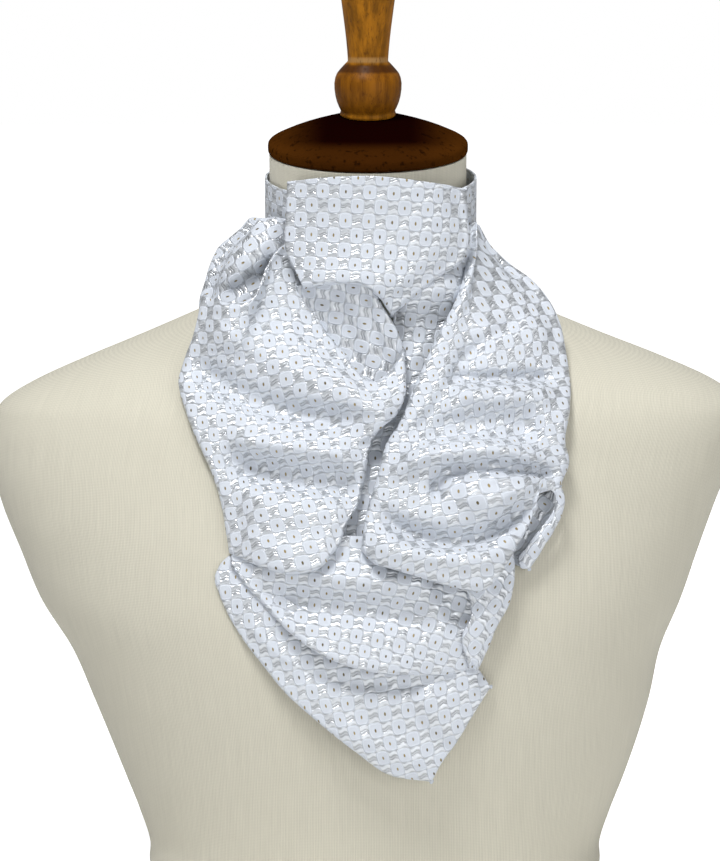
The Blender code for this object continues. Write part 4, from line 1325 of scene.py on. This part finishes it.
def band_tree(material):
    """A ring of cloth: an oval path with the band's own cross section swept round it."""
    tree = bpy.data.node_groups.new("neck_band_ring", "GeometryNodeTree")
    tree.interface.new_socket("Geometry", in_out="INPUT", socket_type="NodeSocketGeometry")
    names = (("Half width", 0.06), ("Half depth", 0.058), ("Height", 0.028), ("Wall", 0.0012))
    for label, default in names:
        socket = tree.interface.new_socket(label, in_out="INPUT", socket_type="NodeSocketFloat")
        socket.default_value = default
    sides = tree.interface.new_socket("Sides", in_out="INPUT", socket_type="NodeSocketInt")
    sides.default_value = BAND_SIDES
    tree.interface.new_socket("Geometry", in_out="OUTPUT", socket_type="NodeSocketGeometry")
    start = tree.nodes.new("NodeGroupInput")
    end = tree.nodes.new("NodeGroupOutput")
    path = tree.nodes.new("GeometryNodeCurvePrimitiveCircle")
    path.inputs["Radius"].default_value = 1.0
    tree.links.new(start.outputs["Sides"], path.inputs["Resolution"])
    oval = tree.nodes.new("GeometryNodeTransform")
    size = tree.nodes.new("ShaderNodeCombineXYZ")
    tree.links.new(start.outputs["Half width"], size.inputs[0])
    tree.links.new(start.outputs["Half depth"], size.inputs[1])
    size.inputs[2].default_value = 1.0
    tree.links.new(path.outputs["Curve"], oval.inputs["Geometry"])
    tree.links.new(size.outputs[0], oval.inputs["Scale"])
    gone = tree.nodes.new("GeometryNodeSplineParameter")
    keep_along = tree.nodes.new("GeometryNodeCaptureAttribute")
    keep_along.capture_items.new("FLOAT", "Along")
    tree.links.new(oval.outputs["Geometry"], keep_along.inputs["Geometry"])
    tree.links.new(gone.outputs["Length"], keep_along.inputs["Along"])
    section = tree.nodes.new("GeometryNodeCurvePrimitiveQuadrilateral")
    tree.links.new(start.outputs["Wall"], section.inputs["Width"])
    tree.links.new(start.outputs["Height"], section.inputs["Height"])
    fine = tree.nodes.new("GeometryNodeResampleCurve")
    fine.inputs["Count"].default_value = BAND_SECTION_STEPS
    tree.links.new(section.outputs["Curve"], fine.inputs["Curve"])
    where = tree.nodes.new("GeometryNodeInputPosition")
    split = tree.nodes.new("ShaderNodeSeparateXYZ")
    tree.links.new(where.outputs[0], split.inputs[0])
    keep_up = tree.nodes.new("GeometryNodeCaptureAttribute")
    keep_up.capture_items.new("FLOAT", "Up")
    tree.links.new(fine.outputs["Curve"], keep_up.inputs["Geometry"])
    tree.links.new(split.outputs[1], keep_up.inputs["Up"])
    ring = tree.nodes.new("GeometryNodeCurveToMesh")
    tree.links.new(keep_along.outputs["Geometry"], ring.inputs["Curve"])
    tree.links.new(keep_up.outputs["Geometry"], ring.inputs["Profile Curve"])
    flat = tree.nodes.new("ShaderNodeCombineXYZ")
    tree.links.new(keep_along.outputs["Along"], flat.inputs[0])
    tree.links.new(keep_up.outputs["Up"], flat.inputs[1])
    store = tree.nodes.new("GeometryNodeStoreNamedAttribute")
    store.data_type = "FLOAT_VECTOR"
    store.domain = "POINT"
    store.inputs["Name"].default_value = "weave_place"
    tree.links.new(ring.outputs["Mesh"], store.inputs["Geometry"])
    tree.links.new(flat.outputs[0], store.inputs["Value"])
    realize = tree.nodes.new("GeometryNodeRealizeInstances")
    paint = tree.nodes.new("GeometryNodeSetMaterial")
    paint.inputs["Material"].default_value = material
    tree.links.new(store.outputs["Geometry"], realize.inputs["Geometry"])
    tree.links.new(realize.outputs["Geometry"], paint.inputs["Geometry"])
    tree.links.new(paint.outputs["Geometry"], end.inputs["Geometry"])
    return tree


def bake(item):
    """The evaluated shape of an object as a plain mesh, in place of its modifiers."""
    graph = bpy.context.evaluated_depsgraph_get()
    mesh = bpy.data.meshes.new_from_object(item.evaluated_get(graph))
    item.modifiers.clear()
    item.data = mesh


class CRAVAT_OT_band(bpy.types.Operator):
    """Lay the neck band round the neck, parallel to the cap"""
    bl_idname = "cravat.band"
    bl_label = "Neck band"

    def execute(self, context):
        settings = context.scene.cravat_band
        cloth = context.scene.cravat_cloth
        material = cloth_material(context)
        item = bpy.data.objects.new("neck_band_cloth", bpy.data.meshes.new("neck_band_cloth"))
        context.scene.collection.objects.link(item)
        ring = item.modifiers.new("Ring", "NODES")
        ring.node_group = band_tree(material)
        sizes = {"Half width": settings.half_width, "Half depth": settings.half_depth,
                 "Height": settings.height, "Wall": cloth.wall}
        for socket in ring.node_group.interface.items_tree:
            if socket.in_out == "INPUT" and socket.name in sizes:
                ring[socket.identifier] = sizes[socket.name]
        bake(item)
        mesh = item.data
        points = np.zeros(len(mesh.vertices) * 3)
        mesh.vertices.foreach_get("co", points)
        points = points.reshape(-1, 3) / MM
        drop = (BAND_DROP_TOP + BAND_DROP_BOTTOM) / 2
        points = onto_neck(points, -drop)
        points[:, 0] += BAND_SHIFT
        mesh.vertices.foreach_set("co", (points * MM).ravel())
        where = np.zeros(len(mesh.vertices) * 3)
        mesh.attributes["weave_place"].data.foreach_get("vector", where)
        where = where.reshape(-1, 3)
        corners = np.zeros(len(mesh.loops), dtype=np.int32)
        mesh.loops.foreach_get("vertex_index", corners)
        flat = where[corners, :2]
        length = where[:, 0].max()
        for face in mesh.polygons:
            span = slice(face.loop_start, face.loop_start + face.loop_total)
            if flat[span, 0].max() - flat[span, 0].min() > length / 2:
                flat[span, 0] = np.where(flat[span, 0] < length / 2, flat[span, 0] + length,
                                         flat[span, 0])
        layer = mesh.uv_layers.new(name="weave")
        layer.data.foreach_set("uv", flat.astype(np.float32).ravel())
        mesh.shade_smooth()
        mesh.set_sharp_from_angle(angle=RIM_ANGLE)
        mesh.update()
        dress(item, "neck_band")
        return {"FINISHED"}


class CRAVAT_OT_stretches(bpy.types.Operator):
    """Lay every stretch of the cravat, from the upright panel to the tail's point"""
    bl_idname = "cravat.stretches"
    bl_label = "Cravat"

    def execute(self, context):
        settings = context.scene.cravat_cloth
        material = cloth_material(context)
        for seed, (node, layers) in enumerate(STRETCHES):
            layers = [{**USUAL_STRETCH, **layer} for layer in layers]
            all_points, all_faces, corners = [], [], []
            used = 0
            for layer in layers:
                points, weave = lay_cloth(layer, settings.step / MM, seed)
                faces = grid_faces(*points.shape[:2])
                all_points.append(points.reshape(-1, 3))
                all_faces += (faces + used).tolist()
                corners.append(weave.reshape(-1, 2)[faces.ravel()])
                used += points.shape[0] * points.shape[1]
            item = add_piece(node + "_cloth", np.concatenate(all_points), all_faces, material,
                             np.concatenate(corners))
            wall = item.modifiers.new("Cloth wall", "SOLIDIFY")
            wall.thickness = settings.wall
            wall.offset = -1.0
            wall.use_even_offset = False
            dress(item, node)
        return {"FINISHED"}


class CRAVAT_OT_stage(bpy.types.Operator):
    """Set the pale floor, the daylight, the soft lamps and the camera"""
    bl_idname = "cravat.stage"
    bl_label = "Stage"

    def execute(self, context):
        settings = context.scene.cravat_stage
        scene = context.scene
        points = [(FLOOR_REACH * math.cos(turn), FLOOR_REACH * math.sin(turn), -FLOOR_GAP)
                  for turn in np.linspace(0.0, math.tau, FLOOR_SIDES, endpoint=False)]
        floor = add_piece("floor", points, [tuple(range(FLOOR_SIDES))], stage_material(settings))
        world = bpy.data.worlds.new("daylight")
        world.use_nodes = True
        sky = world.node_tree.nodes["Background"]
        sky.inputs["Color"].default_value = SKY
        sky.inputs["Strength"].default_value = settings.daylight
        bright = world.node_tree.nodes.new("ShaderNodeBackground")
        bright.inputs["Color"].default_value = WHITE
        seen = world.node_tree.nodes.new("ShaderNodeLightPath")
        either = world.node_tree.nodes.new("ShaderNodeMixShader")
        world.node_tree.links.new(seen.outputs["Is Camera Ray"], either.inputs[0])
        world.node_tree.links.new(sky.outputs[0], either.inputs[1])
        world.node_tree.links.new(bright.outputs[0], either.inputs[2])
        world.node_tree.links.new(either.outputs[0],
                                  world.node_tree.nodes["World Output"].inputs["Surface"])
        scene.world = world
        for name, spot, size, power in LAMPS:
            lamp = bpy.data.lights.new(name, "AREA")
            lamp.size = size
            lamp.energy = power
            stand = bpy.data.objects.new(name, lamp)
            stand.location = spot
            stand.rotation_euler = (Vector(LAMP_AIM) - Vector(spot)).to_track_quat("-Z",
                                                                                   "Y").to_euler()
            scene.collection.objects.link(stand)
        across, up, out = PHOTO_MIDDLE
        middle = Vector((across, -out, view_height(up, out))) * MM
        lens = bpy.data.cameras.new("front_view")
        lens.sensor_fit = "VERTICAL"
        lens.sensor_height = SENSOR_HEIGHT
        lens.lens = lens.sensor_height * settings.distance / (PHOTO_SIZE[1] * settings.scale)
        camera = bpy.data.objects.new("front_view", lens)
        away = Vector((0.0, -math.cos(VIEW_DROP), math.sin(VIEW_DROP)))
        camera.location = middle + away * settings.distance
        camera.rotation_euler = (math.pi / 2 - VIEW_DROP, 0.0, 0.0)
        scene.collection.objects.link(camera)
        scene.camera = camera
        scene.view_settings.view_transform = "Standard"
        return {"FINISHED"}


class CRAVAT_PT_panel(bpy.types.Panel):
    """The pieces of the cravat and its dress form"""
    bl_label = "Cravat"
    bl_idname = "CRAVAT_PT_panel"
    bl_space_type = "VIEW_3D"
    bl_region_type = "UI"
    bl_category = "Cravat"

    def draw(self, context):
        groups = (
            ("cravat.form", context.scene.cravat_form),
            ("cravat.wood", context.scene.cravat_wood),
            ("cravat.band", context.scene.cravat_band),
            ("cravat.stretches", context.scene.cravat_cloth),
            ("cravat.stage", context.scene.cravat_stage),
        )
        for operator, settings in groups:
            box = self.layout.box()
            for name in settings.__annotations__:
                box.prop(settings, name)
            box.operator(operator)


CLASSES = (
    FormSettings, WoodSettings, ClothSettings, BandSettings, StageSettings,
    CRAVAT_OT_form, CRAVAT_OT_wood, CRAVAT_OT_band, CRAVAT_OT_stretches, CRAVAT_OT_stage,
    CRAVAT_PT_panel,
)
SETTINGS = (
    ("cravat_form", FormSettings),
    ("cravat_wood", WoodSettings),
    ("cravat_cloth", ClothSettings),
    ("cravat_band", BandSettings),
    ("cravat_stage", StageSettings),
)


def register():
    for item in CLASSES:
        bpy.utils.register_class(item)
    for name, group in SETTINGS:
        setattr(bpy.types.Scene, name, PointerProperty(type=group))


def unregister():
    for name, _ in SETTINGS:
        delattr(bpy.types.Scene, name)
    for item in reversed(CLASSES):
        bpy.utils.unregister_class(item)


def main():
    register()
    bpy.ops.cravat.form()
    bpy.ops.cravat.wood()
    bpy.ops.cravat.band()
    bpy.ops.cravat.stretches()
    bpy.ops.cravat.stage()


if __name__ == "__main__":
    main()
